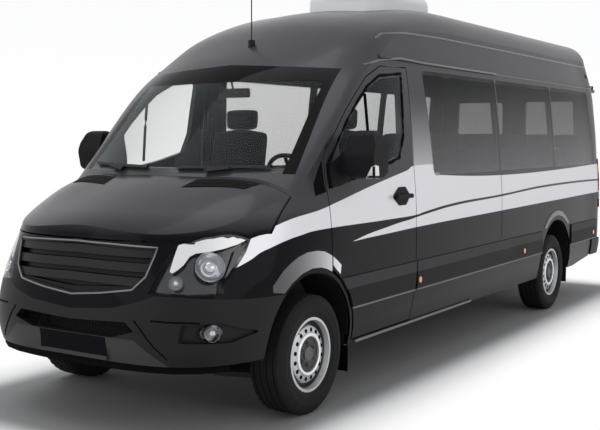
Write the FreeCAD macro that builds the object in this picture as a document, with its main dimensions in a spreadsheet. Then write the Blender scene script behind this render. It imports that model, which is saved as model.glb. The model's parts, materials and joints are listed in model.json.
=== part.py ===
import FreeCAD, Part
import Sketcher
import math
import os

# Long-wheelbase minibus with a high roof.
# The front axle is at y = 0 while it is built, +x is the vehicle's left and z = 0 is the road.
# The placement of each piece then moves the middle of the overall length to y = 0.

V = FreeCAD.Vector
doc = FreeCAD.newDocument("minibus")
sheet = doc.addObject("Spreadsheet::Sheet", "sizes")

SIZES = {
    # overall
    "wheelbase": 4325,
    "front_overhang": 1004,
    "rear_overhang": 1616,
    "half_width": 996.5,
    "roof_height": 2645,
    # heights of the body's main lines
    "sill_height": 340,
    "bumper_low": 415,
    "strip_low": 570,
    "strip_high": 775,
    "belt_height": 1353,
    "glass_high": 2112,
    "rail_height": 2165,
    "floor_height": 640,
    # walls and gaps
    "wall": 45,
    "trim_proud": 12,
    "panel_gap": 8,
    "seat_gap": 0.3,
    "glass_wall": 6,
    "glass_lap": 22,
    "rear_step": 46,
    "rear_corner": 130,
    # wheels
    "front_track": 1710,
    "rear_track": 1716,
    "tyre_radius": 356,
    "tyre_width": 235,
    "rim_radius": 212,
    "rim_width": 190,
    "hub_face": 62,
    "rim_holes": 16,
    "rim_hole_radius": 13,
    "rim_hole_circle": 152,
    "stud_circle": 65,
    "hub_bore": 42,
    "arch_radius": 445,
    "arch_height": 400,
    "rear_arch_shift": 80,
    "rear_arch_radius": 455,
    "kingpin_offset": 790,
    # doors
    "door_front": 190,
    "door_rear": 1345,
    "pillar_seam": 1420,
    "slide_rear": 2968,
    "rear_door_half": 855,
    "rear_door_low": 620,
    "rear_door_high": 2330,
    "front_hinge_depth": 17.5,
    "front_hinge_back": 63,
    "rear_hinge_out": 26,
    "hood_hinge_y": -75,
    "hood_hinge_z": 1372,
    # underbody
    "rail_offset": 420,
    "rail_wide": 60,
    "rail_deep": 130,
    "axle_tube": 55,
    # cabin
    "steering_radius": 205,
    "seat_width": 440,
    "row_pitch": 780,
    "first_row": 2020,
    # roof unit
    "unit_half_width": 400,
    "unit_front": 1950,
    "unit_length": 900,
    "unit_height": 165,
    "whip_length": 380,
}

for row, (alias, number) in enumerate(SIZES.items(), start=1):
    sheet.set(f"A{row}", alias)
    sheet.set(f"B{row}", str(number))
    sheet.setAlias(f"B{row}", alias)
doc.recompute()


def val(name):
    return float(sheet.get(name))


HALF_WIDTH = val("half_width")
WHEELBASE = val("wheelbase")
NOSE_Y = -val("front_overhang")
TAIL_Y = WHEELBASE + val("rear_overhang")
REAR_FACE = TAIL_Y - val("rear_step")
SILL = val("sill_height")
STRIP_LOW = val("strip_low")
STRIP_HIGH = val("strip_high")
BELT = val("belt_height")
GLASS_HIGH = val("glass_high")
RAIL = val("rail_height")
ROOF = val("roof_height")
WALL = val("wall")
PROUD = val("trim_proud")
GAP = val("panel_gap")
SEAT_GAP = val("seat_gap")
AXLE_Z = val("tyre_radius")
ARCH_Z = val("arch_height")
FLOOR = val("floor_height")
WIDE = HALF_WIDTH + 150
SHIFT = "(sizes.front_overhang - sizes.wheelbase - sizes.rear_overhang) / 2"

nodes = {}


# Shared ways of making shapes

def bind(obj, **expressions):
    for name, text in expressions.items():
        obj.setExpression(name.replace("__", "."), text)
    return obj


def place(obj, x="0", y="0", z="0"):
    obj.setExpression("Placement.Base.x", x)
    obj.setExpression("Placement.Base.y", y)
    obj.setExpression("Placement.Base.z", z)
    return obj


def box(label, sizes, corner):
    obj = doc.addObject("Part::Box", label)
    bind(obj, Length=sizes[0], Width=sizes[1], Height=sizes[2])
    return place(obj, *corner)


def rod(label, radius, length, start, axis="z"):
    # A cylinder from its start point along x, y or z
    obj = doc.addObject("Part::Cylinder", label)
    bind(obj, Radius=radius, Height=length)
    turns = {"x": (V(0, 1, 0), 90), "y": (V(1, 0, 0), -90), "z": (V(0, 0, 1), 0)}
    obj.Placement = FreeCAD.Placement(V(), FreeCAD.Rotation(*turns[axis]))
    return place(obj, *start)


def fuse(label, parts):
    obj = doc.addObject("Part::MultiFuse", label)
    obj.Shapes = parts
    return obj


def keep(name, obj, y="0"):
    # Names a finished sub-part and moves it to the part's own origin
    obj.Label = name
    obj.setExpression("Placement.Base.y", f"{y} + {SHIFT}")
    nodes[name] = obj
    return obj


def keep_shape(name, shape):
    obj = doc.addObject("Part::Feature", name)
    obj.Shape = shape
    return keep(name, obj)


def mirrored(shape):
    return shape.mirror(V(0, 0, 0), V(1, 0, 0))


def outline(points, plane, at, radius=0):
    # A closed flat wire through points, its corners rounded by radius
    lift = {
        "yz": lambda u, w: V(at, u, w),
        "xz": lambda u, w: V(u, at, w),
        "xy": lambda u, w: V(u, w, at),
    }[plane]
    corners = [lift(*p) for p in points]
    if radius <= 0:
        return Part.makePolygon(corners + [corners[0]])
    starts, ends, mids = [], [], []
    count = len(corners)
    for i in range(count):
        before, here, after = corners[i - 1], corners[i], corners[(i + 1) % count]
        to_before = before - here
        to_after = after - here
        turn = to_before.getAngle(to_after)
        room = 0.45 * min(to_before.Length, to_after.Length)
        cut_back = min(radius / math.tan(turn / 2), room)
        arc = cut_back * math.tan(turn / 2)
        to_before.normalize()
        to_after.normalize()
        middle = to_before + to_after
        middle.normalize()
        starts.append(here + to_before * cut_back)
        ends.append(here + to_after * cut_back)
        mids.append(here + middle * (arc / math.sin(turn / 2) - arc))
    edges = []
    for i in range(count):
        edges.append(Part.Arc(starts[i], mids[i], ends[i]).toShape())
        edges.append(Part.LineSegment(ends[i], starts[(i + 1) % count]).toShape())
    return Part.Wire(edges)


def prism(points, plane, start, end, radius=0, shrink=0):
    wire = outline(points, plane, start, radius)
    if shrink:
        wire = wire.makeOffset2D(-shrink)
    along = {"yz": V(1, 0, 0), "xz": V(0, 1, 0), "xy": V(0, 0, 1)}[plane]
    return Part.Face(wire).extrude(along * (end - start))


def slab(x0, x1, y0, y1, z0, z1):
    return Part.makeBox(x1 - x0, y1 - y0, z1 - z0, V(x0, y0, z0))


def x_cylinder(y, z, radius, x0, x1):
    return Part.makeCylinder(radius, x1 - x0, V(x0, y, z), V(1, 0, 0))


def skin(grid, along, across):
    # A smooth face through rows of points, with its own spacing along the rows and across them
    def through(points, spacing):
        curve = Part.BSplineCurve()
        curve.interpolate(Points=points, Parameters=[float(p) for p in spacing])
        return curve

    rows = [through(points, along) for points in grid]
    poles = [row.getPoles() for row in rows]
    columns = [through(list(column), across) for column in zip(*poles)]
    surface = Part.BSplineSurface()
    surface.buildFromPolesMultsKnots(
        [column.getPoles() for column in columns],
        rows[0].getMultiplicities(),
        columns[0].getMultiplicities(),
        rows[0].getKnots(),
        columns[0].getKnots(),
        False,
        False,
        3,
        3,
    )
    return surface


# The body's outer form: plan outlines at rising heights, closed above by the hood, screen and roof

def plan_levels():
    # height, side inset, nose setback, start of the front taper, corner power, rear setback
    glass_band = GLASS_HIGH - BELT
    return [
        (SILL - 120, 66, 120, 300, 4.0, 30),
        (SILL, 44, 70, 300, 4.0, 18),
        (STRIP_LOW - 100, 22, 18, 300, 3.9, 6),
        (0.5 * (STRIP_LOW + STRIP_HIGH), PROUD, 0, 320, 3.7, 0),
        (STRIP_HIGH + 125, PROUD, 32, 420, 3.3, 0),
        (BELT - 253, PROUD + 3, 75, 560, 2.9, 2),
        (BELT - 125, PROUD + 8, 130, 800, 3.0, 6),
        (BELT, 31, 200, 1100, 3.2, 12),
        (BELT + 0.40 * glass_band, 53, 200, 1200, 3.0, 18),
        (BELT + 0.72 * glass_band, 78, 200, 1200, 3.0, 24),
        (GLASS_HIGH, 106, 200, 1200, 3.0, 30),
        (RAIL + 215, 176, 200, 1250, 3.0, 48),
        (ROOF + 95, 232, 200, 1300, 3.0, 90),
    ]


OVERLAP = 60


def plan_outline(row, inset):
    # The left half of a plan outline, from the middle of the nose to the middle of the back
    height, side_in, nose_in, taper, power, rear_in = row
    half = HALF_WIDTH - side_in - inset
    reach = taper - (NOSE_Y + nose_in + inset)
    rear = REAR_FACE - rear_in - inset
    corner = max(val("rear_corner") - inset, 20)
    points = []
    for i in range(11):
        angle = math.pi / 20 * i
        x = half * math.sin(angle) ** (2 / power)
        points.append(V(x, taper - reach * max(math.cos(angle), 0) ** (2 / power), height))
    straight = rear - corner - taper
    points += [V(half, taper + straight * share, height) for share in (0.12, 0.35, 0.65, 0.88, 0.97)]
    for i in range(6):
        angle = math.pi / 10 * i
        x = half - corner + corner * math.cos(angle)
        points.append(V(x, rear - corner + corner * math.sin(angle), height))
    points += [V((half - corner) * share, rear, height) for share in (0.93, 0.5, 0)]
    overlap = V(-OVERLAP, 0, 0)
    return [points[0] + overlap] + points + [points[-1] + overlap]


def plan_body(inset):
    # Everything inside the left half's outline, and past the middle plane
    levels = plan_levels()
    levels[0] = (levels[0][0] - inset,) + levels[0][1:]
    grid = [plan_outline(row, inset) for row in levels]
    middle = grid[4]
    along = [0]
    for before, after in zip(middle, middle[1:]):
        along.append(along[-1] + before.distanceToPoint(after))
    across = [points[0].z for points in grid]
    surface = skin(grid, along, across)
    corners = [surface.value(u, v) for v in (across[0], across[-1]) for u in (0, along[-1])]
    low_close = Part.LineSegment(corners[1], corners[0]).toShape()
    high_close = Part.LineSegment(corners[3], corners[2]).toShape()
    low = Part.Face(Part.Wire([surface.vIso(across[0]).toShape(), low_close]))
    high = Part.Face(Part.Wire([surface.vIso(across[-1]).toShape(), high_close]))
    nose = surface.uIso(0).toShape()
    tail = surface.uIso(along[-1]).toShape()
    middle = Part.Face(Part.Wire(Part.__sortEdges__([nose, high_close, tail, low_close])))
    walls = Part.makeShell([surface.toShape(), low, high, middle])
    walls.sewShape()
    body = Part.makeSolid(walls)
    return body if body.Volume > 0 else body.reversed()


CROWN_X = (0, 350, 700, 800, 880, 1030)
CROWN_SPACING = (0, 350, 704, 812, 925, 1330)


def crown_row(y, height, drops):
    # Half a cross-section of the top, falling from its middle by drops at the stations of CROWN_X
    levels = [height, height - 0.25 * drops[0]] + [height - d for d in drops]
    scale = HALF_WIDTH / 996.5
    right = [V(x * scale, y, z) for x, z in zip(CROWN_X, levels)]
    return [V(-p.x, y, p.z) for p in reversed(right[1:])] + right


def crown_body(rows):
    # What lies below a crowned top
    grid = [crown_row(*row) for row in rows]
    along = [-x for x in reversed(CROWN_SPACING[1:])] + list(CROWN_SPACING)
    top = skin(grid, along, [row[0] for row in rows]).toShape()
    return top.extrude(V(0, 0, -3 * ROOF))


def hood_form():
    rise = BELT - 1353
    rows = [
        (NOSE_Y - 250, 985, (190, 245, 315, 540)),
        (NOSE_Y, 1098, (150, 205, 270, 470)),
        (NOSE_Y + 104, 1152, (135, 185, 245, 430)),
        (NOSE_Y + 354, 1262, (110, 155, 205, 380)),
        (NOSE_Y + 604, 1358, (75, 115, 165, 340)),
        (NOSE_Y + 754, 1403, (55, 90, 135, 310)),
        (NOSE_Y + 954, 1438, (50, 82, 122, 290)),
        (NOSE_Y + 1454, 1464, (50, 80, 118, 285)),
    ]
    return crown_body([(y, z + rise, drops) for y, z, drops in rows])


ROOF_FROM = 2700


def screen_line(y):
    # Height of the windscreen's middle line
    return BELT + 77 + 0.9375 * (y + 220)


def upper_form():
    rows = [
        (-700, screen_line(-700), (150, 190, 240, 800)),
        (-230, screen_line(-230), (150, 195, 245, 800)),
        (140, screen_line(140), (138, 182, 228, 780)),
        (500, screen_line(500), (122, 166, 206, 760)),
        (742, ROOF - 381, (105, 145, 186, 740)),
        (1000, ROOF - 233, (90, 135, 230, 740)),
        (1300, ROOF - 120, (85, 145, 290, 760)),
        (1700, ROOF - 43, (82, 175, 360, 800)),
        (2200, ROOF - 5, (80, 195, 400, 840)),
        (ROOF_FROM, ROOF, (80, 200, 410, 850)),
    ]
    back = [ROOF_FROM + (TAIL_Y + 200 - ROOF_FROM) * share for share in (0.33, 0.67, 1)]
    rows += [(y, ROOF, rows[-1][2]) for y in back]
    return crown_body(rows)


def whole(left):
    # The left half joined to its mirror image
    return left.fuse(mirrored(left))


def both(left):
    return Part.makeCompound([left, mirrored(left)])


left_half = slab(0, WIDE, NOSE_Y - 300, TAIL_Y + 300, 0, ROOF + 300)
top_form = hood_form().fuse(upper_form())
outer = plan_body(0).common(top_form).common(left_half)
inner = plan_body(WALL).common(top_form.translated(V(0, 0, -WALL)))
proud = plan_body(-PROUD)
shell = outer.cut(inner)

# Wheel openings
REAR_ARCH_Y = WHEELBASE + val("rear_arch_shift")
FRONT_ARCH = val("arch_radius")
REAR_ARCH = val("rear_arch_radius")
front_arch = x_cylinder(-10, ARCH_Z, FRONT_ARCH, 400, WIDE)
rear_arch = x_cylinder(REAR_ARCH_Y, ARCH_Z, REAR_ARCH, 400, WIDE)
arches = Part.makeCompound([front_arch, rear_arch])
shell = shell.cut(arches)


# Outlines of the panels, on the left side as (y, z) or from the front as (x, z)

DOOR_FRONT = val("door_front")
DOOR_REAR = val("door_rear")
SEAM = val("pillar_seam")
LIP = FRONT_ARCH + 28


def on_lip(height):
    return -10 + math.sqrt(LIP ** 2 - (height - ARCH_Z) ** 2)


door_opening = [
    (DOOR_FRONT, ARCH_Z + math.sqrt(LIP ** 2 - (DOOR_FRONT + 10) ** 2)),
    (on_lip(760), 760),
    (on_lip(660), 660),
    (on_lip(540), 540),
    (on_lip(SILL + 60), SILL + 60),
    (on_lip(SILL + 60), SILL + 22),
    (DOOR_REAR - 55, SILL + 22),
    (DOOR_REAR - 6, STRIP_LOW + 130),
    (DOOR_REAR, BELT - 250),
    (DOOR_REAR - 8, GLASS_HIGH + 10),
    (950, GLASS_HIGH),
    (740, GLASS_HIGH - 82),
    (600, GLASS_HIGH - 187),
    (455, GLASS_HIGH - 307),
    (DOOR_FRONT, BELT + 177),
]
door_window = [
    (224, BELT - 18),
    (224, BELT + 110),
    (470, GLASS_HIGH - 370),
    (600, GLASS_HIGH - 255),
    (740, GLASS_HIGH - 150),
    (920, GLASS_HIGH - 70),
    (1240, GLASS_HIGH - 40),
    (1200, BELT + 300),
    (1125, BELT + 145),
    (870, BELT + 88),
]
SLIDE_REAR = val("slide_rear")
slide_opening = [
    (SEAM, STRIP_LOW - 165),
    (SEAM, GLASS_HIGH + 12),
    (SLIDE_REAR, GLASS_HIGH + 12),
    (SLIDE_REAR, STRIP_LOW - 165),
]
SIDE_GLASS_LOW = BELT + 8
GLASS = val("glass_wall")
LAP = val("glass_lap")
PANE_GAP = 10
pane_edges = [
    (SEAM + 150, SLIDE_REAR - PANE_GAP),
    (SLIDE_REAR + PANE_GAP, SLIDE_REAR + 1390 - PANE_GAP),
    (SLIDE_REAR + 1390 + PANE_GAP, REAR_FACE - 270),
]


def pane_outline(first, last):
    # The front pane leans at its front edge and the last one at its rear edge
    lean_front = 90 if first < SLIDE_REAR else 0
    lean_rear = 75 if last > SLIDE_REAR + 1400 else 0
    return [
        (first + lean_front, SIDE_GLASS_LOW),
        (first, GLASS_HIGH),
        (last - lean_rear, GLASS_HIGH),
        (last, SIDE_GLASS_LOW),
    ]


outer_in = outer.translated(V(-GLASS, 0, 0))
outer_rebate = outer.translated(V(-GLASS - SEAT_GAP, 0, 0))
INSIDE = 600


def left_pane(points, radius):
    # A pane flush with the left side
    blank = prism(points, "yz", INSIDE, WIDE, radius, SEAT_GAP)
    return blank.common(outer).cut(outer_in)


def pane_rebate(points, radius):
    # What the pane and the clear opening behind it take out of the wall
    seat = prism(points, "yz", INSIDE, WIDE, radius).cut(outer_rebate)
    return seat.fuse(prism(points, "yz", INSIDE, WIDE, radius, LAP))


pane_outlines = [pane_outline(*edges) for edges in pane_edges]
side_panes = [left_pane(points, 45) for points in pane_outlines]
side_rebates = Part.makeCompound([pane_rebate(points, 45) for points in pane_outlines])

# Side walls from the pillar seam back to the rear doors
rear_opening = [
    (-100, val("rear_door_low")),
    (-100, val("rear_door_high")),
    (val("rear_door_half"), val("rear_door_high")),
    (val("rear_door_half"), val("rear_door_low")),
]
rear_hole = prism(rear_opening, "xz", REAR_FACE - 260, REAR_FACE + 60, 60)
wall_outline = [
    (SEAM, SILL),
    (REAR_ARCH_Y + 620, SILL),
    (REAR_FACE - 390, SILL + 50),
    (TAIL_Y + 60, SILL + 215),
    (TAIL_Y + 60, RAIL),
    (SEAM, RAIL),
]
left_wall = shell.common(prism(wall_outline, "yz", -10, WIDE)).cut(rear_hole).cut(side_rebates)
slide_hole = prism(slide_opening, "yz", INSIDE, WIDE, 30)
slide_leaf = left_wall.common(prism(slide_opening, "yz", INSIDE, WIDE, 30, SEAT_GAP))
keep_shape("sliding_door", mirrored(slide_leaf))
keep_shape("side_glass", Part.makeCompound(side_panes + [mirrored(pane) for pane in side_panes]))

# Roof, with a drip rail along each side
roof_half = shell.common(slab(0, WIDE, NOSE_Y, TAIL_Y + 100, RAIL, ROOF + 150)).cut(rear_hole)
rail_strip = proud.common(slab(0, WIDE, 960, REAR_FACE - 140, RAIL, RAIL + 22)).cut(outer)
roof_half = roof_half.fuse(rail_strip)
keep_shape("roof_panel", whole(roof_half))

# Windscreen, set flush in its frame
screen_outline = [
    (-50, GLASS_HIGH + 6),
    (0, GLASS_HIGH + 6),
    (765, GLASS_HIGH - 34),
    (845, BELT + 66),
    (0, BELT + 64),
    (-50, BELT + 64),
]
SCREEN_START = -262


def screen_blank(shrink):
    return prism(screen_outline, "xz", SCREEN_START, 900, 0, shrink)


screen = screen_blank(SEAT_GAP).common(outer).cut(outer.translated(V(0, GLASS, 0)))
keep_shape("windscreen", whole(screen))
screen_seat = screen_blank(0).cut(outer.translated(V(0, GLASS + SEAT_GAP, 0)))
screen_cut = screen_seat.fuse(screen_blank(LAP + 8))

# Hood: the top of the nose between the shut lines
HOOD_REAR = -132
HOOD_LIP = BELT - 275


def hood_plan(grow):
    return [
        (-50, NOSE_Y - 60),
        (540 + grow, NOSE_Y - 60),
        (600 + grow, -830),
        (735 + grow, -655),
        (845 + grow, -480),
        (892 + grow, -330),
        (892 + grow, HOOD_REAR + grow),
        (620, HOOD_REAR - 62 + grow),
        (320, HOOD_REAR - 118 + grow),
        (-50, HOOD_REAR - 138 + grow),
    ]


hood_leaf = shell.common(prism(hood_plan(0), "xy", HOOD_LIP, ROOF))
hood_hole = prism(hood_plan(GAP), "xy", HOOD_LIP - GAP, ROOF)

# Headlamps, their outline cut from the front and from the side
lamp_front = [(520, 806), (606, 1062), (700, 1106), (1060, 1135), (1060, 800), (690, 796)]
lamp_side = [
    (NOSE_Y - 80, 700),
    (NOSE_Y - 80, 1180),
    (-430, 1132),
    (-520, 1010),
    (-680, 850),
    (-720, 700),
]
lamp_hole = prism(lamp_front, "xz", NOSE_Y - 80, -300)
lamp_hole = lamp_hole.common(prism(lamp_side, "yz", 400, WIDE))
lamp_hole = lamp_hole.cut(hood_hole)
lamp = outer.common(lamp_hole).cut(outer.translated(V(-20, 50, -12)))

# Front bumper below its seam, with the lower intake, the fog lamp recesses and a bare plate
bumper_front = [(-50, 690), (0, 690), (300, 716), (470, 758), (560, 796), (700, 790), (1060, 742), (1060, 100), (-50, 100)]
bumper_block = prism(bumper_front, "xz", NOSE_Y - 80, -250)
intake_front = [(-60, 632), (0, 632), (400, 648), (455, 600), (300, 556), (-60, 556)]
intake_hole = prism(intake_front, "xz", NOSE_Y - 80, NOSE_Y + 330)
fog_front = [(690, 550), (702, 645), (850, 650), (945, 580), (880, 538)]
fog_seat = prism(fog_front, "xz", NOSE_Y - 80, -400, 12).cut(outer.translated(V(-12, 32, 0)))
bumper = shell.common(bumper_block).common(slab(0, WIDE, NOSE_Y - 80, -250, val("bumper_low"), 900))
bumper = bumper.cut(intake_hole).cut(fog_seat)
plate = slab(0, 262, NOSE_Y + 12, NOSE_Y + 40, 424, 540).cut(outer.translated(V(0, 2, 0)))
keep_shape("front_bumper", whole(bumper.fuse(plate)))

# Grille: a frame and three broad louvres, behind the chevron-shaped opening
grille_front = [(-50, 1072), (0, 1072), (534, 1052), (500, 885), (430, 812), (0, 762), (-50, 762)]
grille_hole = prism(grille_front, "xz", NOSE_Y - 80, NOSE_Y + 330)
FRAME = 22
frame_blank = prism(grille_front, "xz", NOSE_Y - 80, NOSE_Y + 330, 0, SEAT_GAP)
frame = frame_blank.cut(prism(grille_front, "xz", NOSE_Y - 90, NOSE_Y + 340, 0, FRAME))
frame = frame.common(outer.translated(V(0, 4, 0))).cut(outer.translated(V(0, 34, 0)))
blade_zone = prism(grille_front, "xz", NOSE_Y - 90, NOSE_Y + 340, 0, FRAME - 2)
back_zone = outer.translated(V(0, 14, 0)).cut(outer.translated(V(0, 44, 0)))
LOUVRE = 46
blades = []
for low in (844, 920, 996):
    blade = [(-50, low), (-50, low + LOUVRE), (0, low + LOUVRE), (560, low + LOUVRE - 8), (560, low - 8), (0, low)]
    blades.append(prism(blade, "xz", NOSE_Y - 80, NOSE_Y + 200).common(blade_zone).common(back_zone))
chin = prism([(-50, 740), (-50, 812), (0, 812), (480, 842), (480, 740)], "xz", NOSE_Y - 80, NOSE_Y + 200)
chin = chin.common(blade_zone).common(back_zone)
backing = blade_zone.common(outer.translated(V(0, 44, 0))).cut(outer.translated(V(0, 50, 0)))
grille_half = frame.fuse(blades + [chin, backing])
grille_half = grille_half.common(left_half)
keep_shape("grille", whole(grille_half))

# Front body: fenders, nose ring, cowl, screen frame, pillars and sills
door_zone = [
    (600, 200),
    (600, BELT - 60),
    (905, BELT + 40),
    (825, GLASS_HIGH + 60),
    (WIDE, GLASS_HIGH + 60),
    (WIDE, 200),
]
door_hole = prism(door_opening, "yz", INSIDE, WIDE).common(prism(door_zone, "xz", -400, 1500))
front_half = shell.common(slab(0, WIDE, NOSE_Y - 80, SEAM, SILL, RAIL))
for tool in (hood_hole, lamp_hole, grille_hole, bumper_block, screen_cut, door_hole):
    front_half = front_half.cut(tool)

# A front door turns on pins just under its skin, held by arms from a pillar inside
HINGE_Y = DOOR_FRONT + val("front_hinge_back")
HINGE_X = HALF_WIDTH - PROUD - val("front_hinge_depth")
PIN = 5
EYE = 8
PIN_GAP = 0.4
PILLAR_X = HINGE_X - 105
pillar_plan = [
    (PILLAR_X - 40, DOOR_FRONT - 70),
    (WIDE, DOOR_FRONT - 70),
    (WIDE, DOOR_FRONT - 12),
    (PILLAR_X, DOOR_FRONT - 12),
    (PILLAR_X, HINGE_Y + 12),
    (PILLAR_X - 40, HINGE_Y + 12),
]
pillar = prism(pillar_plan, "xy", ARCH_Z + FRONT_ARCH + 15, BELT - 50)
pillar = pillar.common(outer.translated(V(-20, 0, 0)))
sweep_plan = [
    (HINGE_X - 200, HINGE_Y + 17),
    (HINGE_X, HINGE_Y + 17),
    (HINGE_X + 12, HINGE_Y),
    (HINGE_X - 10, DOOR_FRONT - 5),
    (HINGE_X - 200, DOOR_FRONT - 5),
]
arms = [pillar]
notches = []
for height in (STRIP_HIGH + 95, BELT - 275):
    eye = Part.makeCylinder(EYE, 40, V(HINGE_X, HINGE_Y, height - 20))
    arm = slab(PILLAR_X - 5, HINGE_X, HINGE_Y - EYE, HINGE_Y + EYE, height - 20, height + 20)
    pin = Part.makeCylinder(PIN, 100, V(HINGE_X, HINGE_Y, height - 50))
    arms += [eye, arm, pin]
    notches.append(prism(sweep_plan, "xy", height - 26, height + 26))
    notches.append(Part.makeCylinder(EYE + 2, 52, V(HINGE_X, HINGE_Y, height - 26)))
    notches.append(Part.makeCylinder(PIN + PIN_GAP, 110, V(HINGE_X, HINGE_Y, height - 55)))
swing = Part.makeCylinder(90, GLASS_HIGH - 460 - BELT + 20, V(HINGE_X, HINGE_Y, BELT - 20))
swing = swing.common(slab(INSIDE, HINGE_X, DOOR_FRONT, HINGE_Y + 100, BELT - 60, GLASS_HIGH))
front_half = front_half.cut(swing.common(outer.translated(V(0, 0, -14)))).fuse(arms)
keep_shape("front_body", whole(front_half))
keep_shape("hood", whole(hood_leaf))

# Front doors with their windows
door_leaf = shell.common(prism(door_opening, "yz", INSIDE, WIDE, 0, GAP))
door_leaf = door_leaf.common(prism(door_zone, "xz", -400, 1500, 0, GAP))
door_leaf = door_leaf.cut(x_cylinder(-10, ARCH_Z, LIP + 14, INSIDE, WIDE))
door_leaf = door_leaf.cut(pane_rebate(door_window, 40)).cut(Part.makeCompound(notches))
keep_shape("front_door_left", door_leaf)
keep_shape("front_door_right", mirrored(door_leaf))
door_pane = left_pane(door_window, 40)
keep_shape("door_glass_left", door_pane)
keep_shape("door_glass_right", mirrored(door_pane))

# Rear doors, each with its window
rear_leaf_front = [
    (GAP / 2, val("rear_door_low") + GAP),
    (GAP / 2, val("rear_door_high") - GAP),
    (val("rear_door_half") - GAP, val("rear_door_high") - GAP),
    (val("rear_door_half") - GAP, val("rear_door_low") + GAP),
]
rear_window = [(110, BELT + 40), (110, GLASS_HIGH - 60), (690, GLASS_HIGH - 60), (720, BELT + 40)]


def rear_prism(points, radius, shrink=0):
    return prism(points, "xz", REAR_FACE - 300, REAR_FACE + 60, radius, shrink)


rear_leaf = shell.common(rear_prism(rear_leaf_front, 52))
rear_leaf = rear_leaf.common(slab(0, WIDE, REAR_FACE - 200, REAR_FACE + 60, 0, ROOF))
rear_seat = rear_prism(rear_window, 55).cut(outer.translated(V(0, -GLASS - SEAT_GAP, 0)))
rear_leaf = rear_leaf.cut(rear_seat).cut(rear_prism(rear_window, 55, LAP))
rear_pane = rear_prism(rear_window, 55, SEAT_GAP).common(outer).cut(outer.translated(V(0, -GLASS, 0)))
rear_pane = rear_pane.common(slab(0, WIDE, REAR_FACE - 200, REAR_FACE + 60, 0, ROOF))
keep_shape("rear_glass_left", rear_pane)
keep_shape("rear_glass_right", mirrored(rear_pane))

# A rear door turns on outside hinges at the body's corner
REAR_PIN_X = val("rear_door_half") - GAP / 2
REAR_PIN_Y = REAR_FACE + val("rear_hinge_out")
barrels = []
posts = []
for height in (820, 1240, 2150):
    barrel = Part.makeCylinder(EYE, 44, V(REAR_PIN_X, REAR_PIN_Y, height))
    leaf = slab(REAR_PIN_X - 110, REAR_PIN_X, REAR_FACE - 120, REAR_PIN_Y, height, height + 44).cut(outer)
    bore = Part.makeCylinder(PIN + PIN_GAP, 60, V(REAR_PIN_X, REAR_PIN_Y, height - 8))
    barrels.append(barrel.fuse(leaf).cut(bore))
    post = Part.makeCylinder(EYE, 30, V(REAR_PIN_X, REAR_PIN_Y, height - 31))
    pin = Part.makeCylinder(PIN, 74, V(REAR_PIN_X, REAR_PIN_Y, height - 31))
    foot = slab(REAR_PIN_X, REAR_PIN_X + 24, REAR_FACE - 120, REAR_PIN_Y, height - 31, height - 1).cut(outer)
    posts.append(post.fuse(pin).fuse(foot))
keep_shape("rear_door_left", rear_leaf.fuse(barrels))
keep_shape("rear_door_right", mirrored(rear_leaf.fuse(barrels)))
keep_shape("side_wall_left", left_wall.fuse(posts))
keep_shape("side_wall_right", mirrored(left_wall.cut(slide_hole).fuse(posts)))

# Tail lamps on the rear corners
lamp_zone = slab(val("rear_door_half") + 26, WIDE, REAR_FACE - 105, TAIL_Y, STRIP_HIGH + 120, BELT + 60)
tail_lamp = proud.common(lamp_zone).cut(outer)
keep_shape("tail_lamps", both(tail_lamp))

# Rubbing strips and sill trims on the fixed sides, with the doors' own lengths beside them
ARCH_FRONT_Y = REAR_ARCH_Y - math.sqrt(REAR_ARCH ** 2 - (STRIP_LOW - ARCH_Z) ** 2) - 6
ARCH_REAR_Y = REAR_ARCH_Y + math.sqrt(REAR_ARCH ** 2 - (STRIP_LOW - ARCH_Z) ** 2) + 6


def strip(y_from, y_to):
    band = proud.common(slab(0, WIDE, y_from, y_to, STRIP_LOW, STRIP_HIGH)).cut(outer)
    return band


strip_parts = []
for y_from, y_to in ((SEAM + 4, ARCH_FRONT_Y), (ARCH_REAR_Y, REAR_FACE - 200)):
    strip_parts.append(strip(y_from, y_to))
pillar_strip = strip(DOOR_REAR + 2, SEAM)
sill_strip = proud.common(slab(0, WIDE, 520, 2380, SILL, SILL + 16)).cut(outer)
keep_shape("trim_strips", both(Part.makeCompound(strip_parts + [pillar_strip, sill_strip])))

# Amber side markers on the strips
MARKER = 22
markers = []
for y in (DOOR_REAR + 38, 3492, REAR_FACE - 310):
    marker = x_cylinder(y, STRIP_LOW + 70, MARKER, INSIDE, HALF_WIDTH + 4)
    markers.append(marker.cut(proud))
keep_shape("side_markers", both(Part.makeCompound(markers)))


# Trim of the front doors: the strip's own length, the mirror and the handle
door_band = proud.common(slab(0, WIDE, 300, DOOR_REAR, STRIP_LOW, STRIP_HIGH)).cut(outer)
door_band = door_band.common(prism(door_opening, "yz", INSIDE, WIDE, 0, GAP + 4))
MIRROR_Y = 400
mirror_side = [
    (MIRROR_Y - 95, BELT + 45),
    (MIRROR_Y - 120, BELT + 180),
    (MIRROR_Y - 60, BELT + 320),
    (MIRROR_Y + 40, BELT + 330),
    (MIRROR_Y + 75, BELT + 170),
    (MIRROR_Y + 70, BELT + 20),
]
mirror_front = [
    (HALF_WIDTH + 10, BELT + 15),
    (HALF_WIDTH + 22, BELT + 325),
    (HALF_WIDTH + 175, BELT + 325),
    (HALF_WIDTH + 216, BELT + 235),
    (HALF_WIDTH + 212, BELT + 40),
]
mirror = prism(mirror_side, "yz", HALF_WIDTH, HALF_WIDTH + 230, 60)
mirror = mirror.common(prism(mirror_front, "xz", MIRROR_Y - 200, MIRROR_Y + 200, 45))
mirror_foot = prism(
    [(236, BELT - 20), (236, BELT + 110), (400, BELT + 190), (470, BELT + 60), (430, BELT + 12)],
    "yz", INSIDE, WIDE, 12,
)
mirror_foot = mirror_foot.common(outer.translated(V(14, 0, 0))).cut(outer)
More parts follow.
